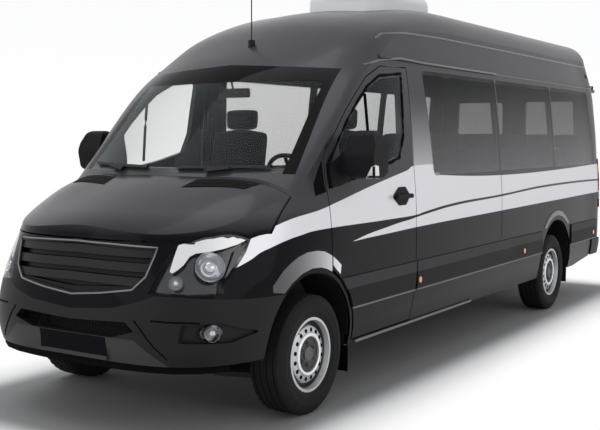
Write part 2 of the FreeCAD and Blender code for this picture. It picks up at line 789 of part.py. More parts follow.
mirror_arm = slab(HALF_WIDTH - 60, HALF_WIDTH + 60, MIRROR_Y - 70, MIRROR_Y + 10, BELT + 60, BELT + 115).cut(outer)
HANDLE_Y = DOOR_REAR - 225
HANDLE_Z = BELT - 113
handle_side = [
    (HANDLE_Y - 135, HANDLE_Z),
    (HANDLE_Y - 40, HANDLE_Z + 62),
    (HANDLE_Y + 60, HANDLE_Z + 62),
    (HANDLE_Y + 128, HANDLE_Z),
    (HANDLE_Y + 60, HANDLE_Z - 62),
    (HANDLE_Y - 40, HANDLE_Z - 62),
]
handle = prism(handle_side, "yz", INSIDE, WIDE, 18).common(outer.translated(V(4, 0, 0))).cut(outer)
grip = prism(
    [(HANDLE_Y - 118, HANDLE_Z - 15), (HANDLE_Y - 118, HANDLE_Z + 15), (HANDLE_Y + 112, HANDLE_Z + 15), (HANDLE_Y + 112, HANDLE_Z - 15)],
    "yz", INSIDE, WIDE, 14,
)
grip_skin = grip.common(outer.translated(V(38, 0, 0))).cut(outer.translated(V(22, 0, 0)))
grip_ends = Part.makeCompound([
    slab(INSIDE, WIDE, HANDLE_Y + at - 14, HANDLE_Y + at + 14, HANDLE_Z - 12, HANDLE_Z + 12)
    for at in (-98, 92)
]).common(outer.translated(V(30, 0, 0))).cut(outer)
mirror_unit = mirror_foot.fuse([mirror_arm, mirror])
handle_unit = handle.fuse([grip_skin, grip_ends])
door_trim = Part.makeCompound([door_band, mirror_unit, handle_unit])
keep_shape("door_trim_left", door_trim)
keep_shape("door_trim_right", mirrored(door_trim))

# Fog lamps on the floor of their recesses
FOG_X = 800
FOG_Z = 595
fog = Part.makeCylinder(38, 700, V(FOG_X, NOSE_Y, FOG_Z), V(0, 1, 0))
fog = fog.common(outer.translated(V(-5, 14, 0))).cut(outer.translated(V(-12, 32 - SEAT_GAP, 0)))
keep_shape("front_lamps", both(Part.makeCompound([lamp, fog])))

# Rear bumper, a step that wraps the corners
step_zone = slab(0, WIDE, REAR_FACE - 330, TAIL_Y + 20, 400, STRIP_LOW - 8)
rear_bumper = proud.translated(V(0, val("rear_step") - PROUD, 0)).common(step_zone).cut(outer)
keep_shape("rear_bumper", whole(rear_bumper))

# Floor pan with its rails, cross members, steps, toe board and front apron rails
FLOOR_LOW = FLOOR - 60
rail_x = val("rail_offset")
rail_half = val("rail_wide") / 2
RAIL_LOW = FLOOR_LOW - val("rail_deep")
inner_near = plan_body(WALL + 14)
TOE_Y = 60
TOE_WALL = 24
floor_half = inner.common(slab(0, WIDE, SEAM + 20, REAR_FACE - WALL - 60, FLOOR_LOW, FLOOR))
floor_half = floor_half.fuse(inner_near.common(slab(0, WIDE, TOE_Y, SEAM + 40, FLOOR_LOW, FLOOR)))
floor_half = floor_half.common(left_half)
toe_board = inner_near.common(slab(0, WIDE, TOE_Y, TOE_Y + TOE_WALL, FLOOR_LOW, BELT - 70)).common(left_half)
step_plate = inner_near.common(slab(700, WIDE, 500, DOOR_REAR - 20, SILL + 55, SILL + 80))
step_riser = slab(700, 724, 500, DOOR_REAR - 20, SILL + 55, FLOOR_LOW)
side_rail = slab(rail_x - rail_half, rail_x + rail_half, -810, REAR_FACE - 190, RAIL_LOW, FLOOR_LOW)
cross = [slab(0, rail_x, y, y + 70, RAIL_LOW + 50, FLOOR_LOW) for y in (1150, 2250, 3350)]
tow_member = slab(0, rail_x + 60, REAR_FACE - 260, REAR_FACE - 190, RAIL_LOW, FLOOR_LOW)
front_member = slab(0, rail_x, -810, -750, RAIL_LOW, RAIL_LOW + 60)
apron_rail = slab(600, 700, -688, TOE_Y + 10, 900, 965)
floor_half = floor_half.fuse([toe_board, step_plate, step_riser, side_rail, tow_member, front_member, apron_rail] + cross)
wheel_space = Part.makeCompound([
    x_cylinder(-10, ARCH_Z, FRONT_ARCH, 500, WIDE),
    x_cylinder(REAR_ARCH_Y, ARCH_Z, REAR_ARCH, 655, WIDE),
])
tow_bolts = Part.makeCompound([
    Part.makeCylinder(6.5, 90, V(80, REAR_FACE - 270, height), V(0, 1, 0))
    for height in (RAIL_LOW + 40, RAIL_LOW + 90)
])
floor_half = floor_half.cut(wheel_space).cut(tow_bolts)
keep_shape("floor_pan", whole(floor_half))

# Wheel arch liners with their mud flaps
LINER = 5


def arch_liner(y, radius, x0, closed):
    radius = radius - SEAT_GAP
    ring = x_cylinder(y, ARCH_Z, radius, x0, WIDE).cut(x_cylinder(y, ARCH_Z, radius - LINER, x0 - 1, WIDE + 1))
    if closed:
        ring = ring.fuse(x_cylinder(y, ARCH_Z, radius, x0, x0 + LINER))
    ring = ring.common(slab(x0 - 1, WIDE, y - 2 * radius, y + 2 * radius, ARCH_Z, ARCH_Z + 2 * radius))
    return ring.common(outer.translated(V(-14, 0, 0)))


front_flap_y = FRONT_ARCH - 19.5
front_flap = slab(730, 930, front_flap_y, front_flap_y + 5, 175, ARCH_Z + 10)
rear_flap_y = REAR_ARCH_Y + REAR_ARCH - 9.6
rear_flap = slab(740, 945, rear_flap_y, rear_flap_y + 5, 195, ARCH_Z + 10)
front_liner = arch_liner(-10, FRONT_ARCH, 700, False).fuse(front_flap)
rear_liner = arch_liner(REAR_ARCH_Y, REAR_ARCH, 656, True).fuse(rear_flap)
rear_liner = rear_liner.cut(x_cylinder(WHEELBASE, AXLE_Z, val("axle_tube") + 20, 600, 700))
keep_shape("wheel_liners", both(Part.makeCompound([front_liner, rear_liner])))

# Front suspension: lower and upper arms, struts and the member between them
arm_low = prism([(rail_x - 60, -170), (rail_x - 60, 170), (760, 34), (812, 24), (812, -24), (760, -34)], "xy", 186, 215.7)
arm_high = slab(632, 812, -22, 22, 505.3, 528)
strut = Part.makeCylinder(24, 899.7 - 505.3, V(655, 0, 505.3))
spring_seat = Part.makeCylinder(70, 8, V(655, 0, 760))
member = slab(0, rail_x - 40, -150, 150, 205, 270)
post = slab(rail_x - 80, rail_x - rail_half - SEAT_GAP, -60, 60, 215, RAIL_LOW + 40)
suspension = arm_low.fuse([arm_high, strut, spring_seat, member, post])
keep_shape("front_suspension", whole(suspension))

# Rear axle on its leaf springs
rear_y = WHEELBASE
LEAF_R = 2200
tube = x_cylinder(rear_y, AXLE_Z, val("axle_tube"), 0, 800)
casing = x_cylinder(rear_y, AXLE_Z, 145, 0, 110)
drum = x_cylinder(rear_y, AXLE_Z, 150, 770, 850)
hub_end = x_cylinder(rear_y, AXLE_Z, 75, 800, val("rear_track") / 2 + val("hub_face") - SEAT_GAP)
leaf_z = AXLE_Z + 74
leaf = x_cylinder(rear_y, leaf_z + LEAF_R, LEAF_R + 22, 515, 585)
leaf = leaf.cut(x_cylinder(rear_y, leaf_z + LEAF_R, LEAF_R - 10, 510, 590))
leaf = leaf.common(slab(500, 600, rear_y - 700, rear_y + 700, 200, 800))
hangers = [slab(rail_x + rail_half + SEAT_GAP, 585, y - 30, y + 30, 520, FLOOR_LOW - SEAT_GAP) for y in (rear_y - 670, rear_y + 670)]
pad = slab(500, 600, rear_y - 60, rear_y + 60, AXLE_Z, leaf_z)
keep_shape("rear_axle", whole(tube.fuse([casing, drum, hub_end, leaf, pad] + hangers)))

# Knuckle with its kingpin, spindle, hub and brake disc
KINGPIN = val("kingpin_offset")
HUB_X = val("front_track") / 2 + val("hub_face")
kingpin = Part.makeCylinder(22, 289, V(KINGPIN, 0, 216))
spindle = x_cylinder(0, AXLE_Z, 42, KINGPIN - 20, HUB_X - 20)
disc = x_cylinder(0, AXLE_Z, 150, HUB_X - 62, HUB_X - 34)
hub = x_cylinder(0, AXLE_Z, 75, HUB_X - 40, HUB_X - SEAT_GAP)
caliper = slab(HUB_X - 80, HUB_X - 16, -165, -95, AXLE_Z - 55, AXLE_Z + 55)
knuckle = kingpin.fuse([spindle, disc, hub, caliper])
keep_shape("knuckle_left", knuckle)
keep_shape("knuckle_right", mirrored(knuckle))

# Engine as a plain block, gearbox, shaft, radiator, exhaust and tank
block = slab(-270, 270, -600, -70, 430, 960)
gearbox = Part.makeCylinder(110, 690, V(0, -80, 455), V(0, 1, 0))
shaft = Part.makeCylinder(35, rear_y - 150 - 600, V(0, 600, 430), V(0, 1, 0))
arm_end = rail_x - rail_half - SEAT_GAP
engine_arms = slab(-arm_end, arm_end, -390, -330, RAIL_LOW + 40, RAIL_LOW + 85)
keep_shape("powertrain", block.fuse([gearbox, shaft, engine_arms]))
radiator = slab(0, 380, -800, -760, RAIL_LOW + 60 + SEAT_GAP, 990)
stop = Part.makeCylinder(14, 300, V(350, -780, 980)).common(inner.translated(V(0, 0, -SEAT_GAP)))
keep_shape("radiator", whole(radiator.fuse(stop)))
silencer = Part.makeCylinder(85, 650, V(-270, 1500, 420), V(0, 1, 0))
pipe = Part.makeCylinder(30, 3000, V(-270, 200, 420), V(0, 1, 0))
straps = [slab(-285, -255, y, y + 12, 430, FLOOR_LOW - SEAT_GAP) for y in (1400, 2200, 3100)]
keep_shape("exhaust", silencer.fuse([pipe] + straps))
tank_front = [(480, 300), (480, FLOOR_LOW - SEAT_GAP), (840, FLOOR_LOW - SEAT_GAP), (840, 300)]
keep_shape("fuel_tank", prism(tank_front, "xz", 1650, 2560, 55))

# Dashboard, column and steering wheel
dash_side = [
    (TOE_Y + TOE_WALL + SEAT_GAP, BELT - 75),
    (TOE_Y + TOE_WALL + 20, BELT + 30),
    (330, BELT + 32),
    (440, BELT - 20),
    (420, BELT - 150),
    (330, BELT - 260),
    (300, BELT - 420),
    (TOE_Y + TOE_WALL + 20, BELT - 420),
    (TOE_Y + TOE_WALL + SEAT_GAP, BELT - 300),
]
dash_half = prism(dash_side, "yz", -1, PILLAR_X - 48).common(inner_near).common(left_half)
binnacle = prism([(250, BELT + 20), (300, BELT + 100), (400, BELT + 85), (430, BELT - 10)], "yz", 280, 580, 20)
column_dir = V(0, math.cos(math.radians(34)), math.sin(math.radians(34)))
wheel_at = V(430, 620, BELT + 7)
column = Part.makeCylinder(34, 262 - 56 - SEAT_GAP, wheel_at - column_dir * 262, column_dir)
keep_shape("dashboard", whole(dash_half).fuse([binnacle, column]))
wheel_radius = val("steering_radius")
rim_ring = Part.makeTorus(wheel_radius - 15, 15, wheel_at, column_dir)
boss = Part.makeCylinder(62, 50, wheel_at - column_dir * 56, column_dir)
across = V(1, 0, 0)
spokes = [Part.makeCylinder(13, wheel_radius - 15, wheel_at - column_dir * 20, direction) for direction in (
    (across * 12 + column_dir).normalize(), (across * -12 + column_dir).normalize(),
    (column_dir.cross(across) * -12 + column_dir).normalize())]
keep_shape("steering_wheel", rim_ring.fuse([boss] + spokes))


# Seats

SEAT_WIDE = val("seat_width")


def seat(x, y, width, floor, base, top):
    cushion = prism([(y, floor + base), (y, floor + base + 110), (y + 470, floor + base + 90), (y + 470, floor + base)],
                    "yz", x - width / 2, x + width / 2, 40)
    back_side = [(y + 400, floor + base), (y + 500, floor + base), (y + 620, top), (y + 530, top)]
    back = prism(back_side, "yz", x - width / 2, x + width / 2, 38)
    rest = prism([(y + 545, top - 10), (y + 540, top + 165), (y + 630, top + 165), (y + 620, top - 10)],
                 "yz", x - 130, x + 130, 35)
    inset = 0.1 * x
    leg = slab(x - inset - 55, x - inset + 55, y + 60, y + 400, floor + SEAT_GAP, floor + base + 5)
    return cushion.fuse([back, rest, leg])


cab_seats = [seat(x, 640, SEAT_WIDE + 40, FLOOR, 350, BELT + 330) for x in (430, -430)]
keep_shape("cab_seats", Part.makeCompound(cab_seats))
rows = []
for i in range(5):
    y = val("first_row") + i * val("row_pitch")
    for x in (640, 195, -640) if i < 4 else (640, 213, -213, -640):
        rows.append(seat(x, y, SEAT_WIDE - 20, FLOOR, 330, BELT + 160))
keep_shape("cabin_seats", Part.makeCompound(rows))

# Roof unit and antenna
unit_half = val("unit_half_width")
unit_front = val("unit_front")
unit_rear = unit_front + val("unit_length")
unit_plan = [
    (-unit_half + 60, unit_front),
    (unit_half - 60, unit_front),
    (unit_half, unit_rear),
    (-unit_half, unit_rear),
]
pod = prism(unit_plan, "xy", ROOF - 70, ROOF + val("unit_height"), 150)
rim_edges = [edge for edge in pod.Edges if edge.BoundBox.ZMin > ROOF + val("unit_height") - 1]
pod = pod.makeFillet(95, rim_edges)
roof_cover = outer.common(slab(0, WIDE, unit_front - 100, unit_rear + 100, ROOF - 300, ROOF + 50))
keep_shape("roof_unit", pod.cut(whole(roof_cover).translated(V(0, 0, SEAT_GAP))))
mast_at = V(0, 742, ROOF - 389)
mast_foot = Part.makeCylinder(24, 46, mast_at)
mast = Part.makeCylinder(4, val("whip_length"), mast_at + V(0, 0, 40))
foot_zone = outer.common(slab(0, 60, 600, 900, ROOF - 600, ROOF - 250))
keep_shape("antenna", mast_foot.fuse(mast).cut(whole(foot_zone).translated(V(0, 0, SEAT_GAP))))

# Wipers lying along the foot of the windscreen
wiper_front = [(120, BELT + 92), (120, BELT + 106), (700, BELT + 118), (700, BELT + 104)]
wiper_arm = [(330, BELT + 76), (330, BELT + 98), (470, BELT + 112), (480, BELT + 96)]
wiper_zone = outer.translated(V(0, -26, 0)).cut(outer.translated(V(0, -SEAT_GAP, 0)))
blade = prism(wiper_front, "xz", -420, 200).common(wiper_zone)
arm = prism(wiper_arm, "xz", -420, 200).common(outer.translated(V(0, -42, 0))).cut(outer.translated(V(0, -20, 0)))
wiper = blade.fuse(arm)
keep_shape("wipers", both(wiper))


# Wheels

def term(name, plus=0.0):
    # A size from the sheet with an offset, as a number and as an expression
    return (val(name) + plus, f"sizes.{name} + {plus}" if plus >= 0 else f"sizes.{name} - {-plus}")


def half(name, plus=0.0, sign=1):
    number = sign * (val(name) / 2 + plus)
    return (number, f"{sign} * (sizes.{name} / 2 + ({plus}))")


def plain(number):
    return (number, None)


def profile(body, points, role="XY_Plane"):
    # A closed profile on one of the body's planes, each corner held by two dimensions
    sketch = body.newObject("Sketcher::SketchObject", "profile")
    plane = next(item for item in body.Origin.OriginFeatures if item.Role == role)
    sketch.AttachmentSupport = [(plane, "")]
    sketch.MapMode = "FlatFace"
    corners = [V(p[0][0], p[1][0], 0) for p in points]
    count = len(corners)
    for i in range(count):
        sketch.addGeometry(Part.LineSegment(corners[i], corners[(i + 1) % count]))
    for i in range(count):
        sketch.addConstraint(Sketcher.Constraint("Coincident", i, 2, (i + 1) % count, 1))
    for i, point in enumerate(points):
        for kind, (number, text) in zip(("DistanceX", "DistanceY"), point):
            at = sketch.addConstraint(Sketcher.Constraint(kind, -1, 1, i, 1, number))
            if text:
                sketch.setExpression(f"Constraints[{at}]", text)
    return sketch


def revolved(label, points):
    body = doc.addObject("PartDesign::Body", label)
    turn = body.newObject("PartDesign::Revolution", "turn")
    sketch = profile(body, points)
    turn.Profile = sketch
    turn.ReferenceAxis = (sketch, ["H_Axis"])
    turn.Angle = 360
    body.Tip = turn
    return body


def hole_ring(body, radius, circle, count):
    # Round holes along the axis, evenly spaced on a circle
    sketch = body.newObject("Sketcher::SketchObject", "hole")
    plane = next(item for item in body.Origin.OriginFeatures if item.Role == "YZ_Plane")
    sketch.AttachmentSupport = [(plane, "")]
    sketch.MapMode = "FlatFace"
    sketch.addGeometry(Part.Circle(V(0, circle[0], 0), V(0, 0, 1), radius[0]))
    sketch.addConstraint(Sketcher.Constraint("PointOnObject", 0, 3, -2))
    at = sketch.addConstraint(Sketcher.Constraint("DistanceY", -1, 1, 0, 3, circle[0]))
    sketch.setExpression(f"Constraints[{at}]", circle[1])
    at = sketch.addConstraint(Sketcher.Constraint("Radius", 0, radius[0]))
    if radius[1]:
        sketch.setExpression(f"Constraints[{at}]", radius[1])
    pocket = body.newObject("PartDesign::Pocket", "holes")
    pocket.Profile = sketch
    pocket.Type = 1
    pocket.Midplane = True
    ring = body.newObject("PartDesign::PolarPattern", "ring")
    ring.Originals = [pocket]
    axis = next(item for item in body.Origin.OriginFeatures if item.Role == "X_Axis")
    ring.Axis = (axis, [""])
    ring.Angle = 360
    if isinstance(count, str):
        ring.setExpression("Occurrences", count)
    else:
        ring.Occurrences = count
    body.Tip = ring


def tyre_points():
    return [
        (half("tyre_width", -26, -1), term("rim_radius")),
        (half("tyre_width", -20.5, -1), term("rim_radius", 15)),
        (half("tyre_width", -2, -1), term("rim_radius", 45)),
        (half("tyre_width", 0, -1), term("rim_radius", 75)),
        (half("tyre_width", -8, -1), term("tyre_radius", -30)),
        (half("tyre_width", -26, -1), term("tyre_radius", -7)),
        (half("tyre_width", -60, -1), term("tyre_radius")),
        (half("tyre_width", -60), term("tyre_radius")),
        (half("tyre_width", -26), term("tyre_radius", -7)),
        (half("tyre_width", -8), term("tyre_radius", -30)),
        (half("tyre_width"), term("rim_radius", 75)),
        (half("tyre_width", -2), term("rim_radius", 45)),
        (half("tyre_width", -20.5), term("rim_radius", 15)),
        (half("tyre_width", -26), term("rim_radius")),
    ]


def rim_points():
    face = [(70, 42), (70, 96), (59, 114), (55, 130), (61, 174), (52, 190)]
    back = [(40, 187), (52, 172), (46, 128), (50, 110), (62, 94), (62, 42)]
    points = [(term("hub_face", x - 62), plain(r)) for x, r in face]
    points += [
        (half("rim_width", -20), term("rim_radius", -12)),
        (half("rim_width", 6), term("rim_radius", -6)),
        (half("rim_width", 6), term("rim_radius", 13)),
        (half("rim_width", 3), term("rim_radius", 13)),
        (half("rim_width", 3), term("rim_radius", -0.3)),
        (half("rim_width", -30), term("rim_radius", -4)),
        (half("rim_width", -50), term("rim_radius", -17)),
        (half("rim_width", -60, -1), term("rim_radius", -17)),
        (half("rim_width", -30, -1), term("rim_radius", -4)),
        (half("rim_width", 3, -1), term("rim_radius", -0.3)),
        (half("rim_width", 3, -1), term("rim_radius", 13)),
        (half("rim_width", 6, -1), term("rim_radius", 13)),
        (half("rim_width", 6, -1), term("rim_radius", -6)),
        (half("rim_width", -30, -1), term("rim_radius", -12)),
        (half("rim_width", -55, -1), term("rim_radius", -25)),
    ]
    return points + [(term("hub_face", x - 62), plain(r)) for x, r in back]


for end, y, track in (("front", "0", "front_track"), ("rear", "sizes.wheelbase", "rear_track")):
    for side, sign in (("left", 1), ("right", -1)):
        tyre = revolved(f"tyre_{end}_{side}", tyre_points())
        rim = revolved(f"rim_{end}_{side}", rim_points())
        hole_ring(rim, term("rim_hole_radius"), term("rim_hole_circle"), "sizes.rim_holes")
        hole_ring(rim, plain(7.5), term("stud_circle"), 6)
        for piece in (tyre, rim):
            if sign < 0:
                piece.Placement = FreeCAD.Placement(V(), FreeCAD.Rotation(V(0, 0, 1), 180))
            place(piece, f"{sign} * sizes.{track} / 2", "0", "sizes.tyre_radius")
        keep(f"tyre_{end}_{side}", tyre, y)
        keep(f"rim_{end}_{side}", rim, y)

doc.recompute()


def check_and_write():
    # Every object has to be sound before a file is written
    for obj in doc.Objects:
        if "Invalid" in obj.State or "Error" in obj.State:
            raise RuntimeError(f"{obj.Label} did not build: {obj.State}")
    os.makedirs("parts", exist_ok=True)
    for name, obj in nodes.items():
        shape = obj.Shape
        if shape.isNull() or not shape.isValid() or not shape.Solids:
            raise RuntimeError(f"{name} has no sound shape")
    for name, obj in nodes.items():
        obj.Shape.exportStep(os.path.join("parts", f"{name}.step"))
        bounds = obj.Shape.BoundBox
        print(name, len(obj.Shape.Solids), "solids", [round(v) for v in (
            bounds.XMin, bounds.XMax, bounds.YMin, bounds.YMax, bounds.ZMin, bounds.ZMax)])


check_and_write()
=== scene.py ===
import json
import math

import bmesh
import bpy
from mathutils import Matrix, Vector
from mathutils.bvhtree import BVHTree
from mathutils.geometry import delaunay_2d_cdt


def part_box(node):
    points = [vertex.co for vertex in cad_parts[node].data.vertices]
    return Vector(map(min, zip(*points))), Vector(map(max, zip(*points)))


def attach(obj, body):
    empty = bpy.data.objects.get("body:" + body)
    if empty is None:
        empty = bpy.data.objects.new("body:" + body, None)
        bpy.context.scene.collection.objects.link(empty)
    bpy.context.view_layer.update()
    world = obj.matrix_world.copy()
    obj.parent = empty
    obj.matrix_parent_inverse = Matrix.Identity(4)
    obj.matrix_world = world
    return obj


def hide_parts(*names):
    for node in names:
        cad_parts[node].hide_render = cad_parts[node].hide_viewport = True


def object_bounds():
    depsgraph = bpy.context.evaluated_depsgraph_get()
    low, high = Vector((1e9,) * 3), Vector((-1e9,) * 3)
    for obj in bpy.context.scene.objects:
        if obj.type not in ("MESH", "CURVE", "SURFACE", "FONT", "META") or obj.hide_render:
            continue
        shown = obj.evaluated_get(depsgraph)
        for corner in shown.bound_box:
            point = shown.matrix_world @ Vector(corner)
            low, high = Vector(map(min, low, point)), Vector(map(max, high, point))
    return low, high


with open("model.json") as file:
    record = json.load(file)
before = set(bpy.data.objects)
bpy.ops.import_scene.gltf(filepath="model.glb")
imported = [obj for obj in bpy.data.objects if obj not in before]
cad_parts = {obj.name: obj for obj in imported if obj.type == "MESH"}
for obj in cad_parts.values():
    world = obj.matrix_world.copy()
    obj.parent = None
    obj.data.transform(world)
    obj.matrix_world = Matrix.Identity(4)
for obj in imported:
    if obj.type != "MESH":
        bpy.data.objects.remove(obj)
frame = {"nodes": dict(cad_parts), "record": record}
nodes = frame["nodes"]
record = frame["record"]
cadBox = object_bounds()
axle = -2.4685  # the front axle's y in this frame, from which lengths along the vehicle are given
wheelRadius, wheelbase = 0.356, 4.325
bodyOf = {node: body for body, members in record["behaviour"]["bodies"].items() for node in members}


# Camera

cameraFacts = {
    "azimuth": 32.61, "elevation": 4.53, "roll": 0.15, "place": (3.998, -7.3495, 1.639),
    "lens": 59.25, "sensor": 36, "width": 600, "height": 430, "farClip": 200,
}


def cameraAxes():
    azimuth, elevation, roll = (math.radians(cameraFacts[key]) for key in ("azimuth", "elevation", "roll"))
    level = math.cos(elevation)
    back = Vector((math.sin(azimuth) * level, -math.cos(azimuth) * level, math.sin(elevation)))
    right = Vector((math.cos(azimuth), math.sin(azimuth), 0))
    up = back.cross(right)
    return right * math.cos(roll) + up * math.sin(roll), up * math.cos(roll) - right * math.sin(roll), back


def makeCamera():
    data = bpy.data.cameras.new("photoCamera")
    data.lens = cameraFacts["lens"]
    data.sensor_width = cameraFacts["sensor"]
    data.clip_end = cameraFacts["farClip"]
    cam = bpy.data.objects.new("photoCamera", data)
    bpy.context.scene.collection.objects.link(cam)
    place = Matrix(cameraAxes()).transposed().to_4x4()
    place.translation = Vector(cameraFacts["place"])
    cam.matrix_world = place
    bpy.context.scene.camera = cam


makeCamera()
print("camera set")


# Shared node trees

def addNode(tree, kind, **values):
    node = tree.nodes.new(kind)
    for key, value in values.items():
        setattr(node, key, value)
    return node


def mathNode(tree, operation, first, second=None, clamp=False):
    node = addNode(tree, "ShaderNodeMath", operation=operation, use_clamp=clamp)
    for socket, value in zip(node.inputs, (first, second)):
        if value is None:
            continue
        if isinstance(value, (int, float)):
            socket.default_value = value
        else:
            tree.links.new(value, socket)
    return node.outputs[0]


def mixColour(tree, share, first, second):
    node = addNode(tree, "ShaderNodeMix", data_type="RGBA")
    for socket, value in zip((node.inputs[0], node.inputs[6], node.inputs[7]), (share, first, second)):
        if isinstance(value, (int, float)):
            socket.default_value = value
        elif isinstance(value, tuple):
            socket.default_value = (*value, 1)
        else:
            tree.links.new(value, socket)
    return node.outputs[2]


def objectPlace(tree):
    return addNode(tree, "ShaderNodeTexCoord").outputs["Object"]


def splitPlace(tree):
    split = addNode(tree, "ShaderNodeSeparateXYZ")
    tree.links.new(objectPlace(tree), split.inputs[0])
    return split.outputs


def climb(tree, value, start, span):
    # 0 up to the start, 1 past the span
    return mathNode(tree, "DIVIDE", mathNode(tree, "SUBTRACT", value, start), span, clamp=True)


def between(tree, value, low, high, soft=0.0015):
    return mathNode(tree, "MULTIPLY", climb(tree, value, low, soft), climb(tree, high, value, soft))


def lengthOf(tree, first, second):
    squares = [mathNode(tree, "MULTIPLY", part, part) for part in (first, second)]
    return mathNode(tree, "SQRT", mathNode(tree, "ADD", *squares))


def addNoise(tree, scale, detail):
    # The scale is a number or a socket
    node = addNode(tree, "ShaderNodeTexNoise")
    node.inputs["Detail"].default_value = detail
    if isinstance(scale, (int, float)):
        node.inputs["Scale"].default_value = scale
    else:
        tree.links.new(scale, node.inputs["Scale"])
    tree.links.new(objectPlace(tree), node.inputs["Vector"])
    return node.outputs["Fac"]


def addBump(tree, shader, height, strength, distance):
    node = addNode(tree, "ShaderNodeBump")
    node.inputs["Strength"].default_value = strength
    node.inputs["Distance"].default_value = distance
    tree.links.new(height, node.inputs["Height"])
    tree.links.new(node.outputs["Normal"], shader.inputs["Normal"])


def newGroup(name, takes, gives):
    # An empty group with number sockets, and its two end nodes
    tree = bpy.data.node_groups.new(name, "ShaderNodeTree")
    for labels, way in ((takes, "INPUT"), (gives, "OUTPUT")):
        for label in labels:
            tree.interface.new_socket(label, in_out=way, socket_type="NodeSocketFloat")
    return tree, addNode(tree, "NodeGroupInput"), addNode(tree, "NodeGroupOutput")


variationFacts = {"cloudScale": 2.3, "cloudDetail": 3, "fleckDetail": 4, "bumpHeight": 0.001}
dustFacts = {"scale": 9, "detail": 5, "top": 0.8, "colour": (0.20, 0.18, 0.16)}


def makeVariation():
    # A slow cloud, a fine fleck and a height, shared by every finish
    tree, inside, outside = newGroup("surfaceVariation", ("Scale", "Amount"), ("Mix", "Cloud", "Height"))
    cloud = addNoise(tree, variationFacts["cloudScale"], variationFacts["cloudDetail"])
    fleck = addNoise(tree, inside.outputs["Scale"], variationFacts["fleckDetail"])
    mean = mathNode(tree, "MULTIPLY", mathNode(tree, "ADD", cloud, fleck), 0.5)
    share = mathNode(tree, "MULTIPLY", mean, inside.outputs["Amount"], clamp=True)
    for label, value in (("Mix", share), ("Cloud", cloud), ("Height", fleck)):
        tree.links.new(value, outside.inputs[label])
    return tree


def makeDust():
    # Road dust that gathers low on the vehicle, by height and a broken edge
    tree, inside, outside = newGroup("lowDust", ("Top", "Amount"), ("Mask",))
    height = mathNode(tree, "DIVIDE", splitPlace(tree)[2], inside.outputs["Top"])
    fall = mathNode(tree, "SUBTRACT", 1.0, height, clamp=True)
    broken = mathNode(tree, "MULTIPLY", fall, addNoise(tree, dustFacts["scale"], dustFacts["detail"]))
    mask = mathNode(tree, "MULTIPLY", broken, inside.outputs["Amount"], clamp=True)
    tree.links.new(mask, outside.inputs["Mask"])
    return tree


variation = makeVariation()
dust = makeDust()


def newMaterial(name):
    mat = bpy.data.materials.new(name)
    mat.use_nodes = True
    tree = mat.node_tree
    return mat, tree, tree.nodes["Principled BSDF"]


def vary(tree, shader, base, other, scale, amount, bump, roughness, spread):
    # Mixes two colours and spreads the roughness by the shared variation
    group = addNode(tree, "ShaderNodeGroup", node_tree=variation)
    group.inputs["Scale"].default_value = scale
    group.inputs["Amount"].default_value = amount
    colour = mixColour(tree, group.outputs["Mix"], base, other)
    tree.links.new(colour, shader.inputs["Base Color"])
    rough = mathNode(tree, "MULTIPLY", group.outputs["Cloud"], spread)
    tree.links.new(mathNode(tree, "ADD", rough, roughness), shader.inputs["Roughness"])
    if bump:
        addBump(tree, shader, group.outputs["Height"], bump, variationFacts["bumpHeight"])
    return colour


def setLooks(shader, **looks):
    for key, value in looks.items():
        shader.inputs[key.replace("_", " ")].default_value = value


def finish(name, base, other, scale, amount, bump, roughness, spread, dusty=0.0, **looks):
    # Two colours, the fleck's scale and amount, bump, roughness, the roughness's spread, dust
    mat, tree, shader = newMaterial(name)
    colour = vary(tree, shader, base, other, scale, amount, bump, roughness, spread)
    if dusty:
        group = addNode(tree, "ShaderNodeGroup", node_tree=dust)
        group.inputs["Top"].default_value = dustFacts["top"]
        group.inputs["Amount"].default_value = dusty
        colour = mixColour(tree, group.outputs["Mask"], colour, dustFacts["colour"])
        tree.links.new(colour, shader.inputs["Base Color"])
    setLooks(shader, **looks)
    return mat


# Paint: dark grey metallic with two silver bands along the sides

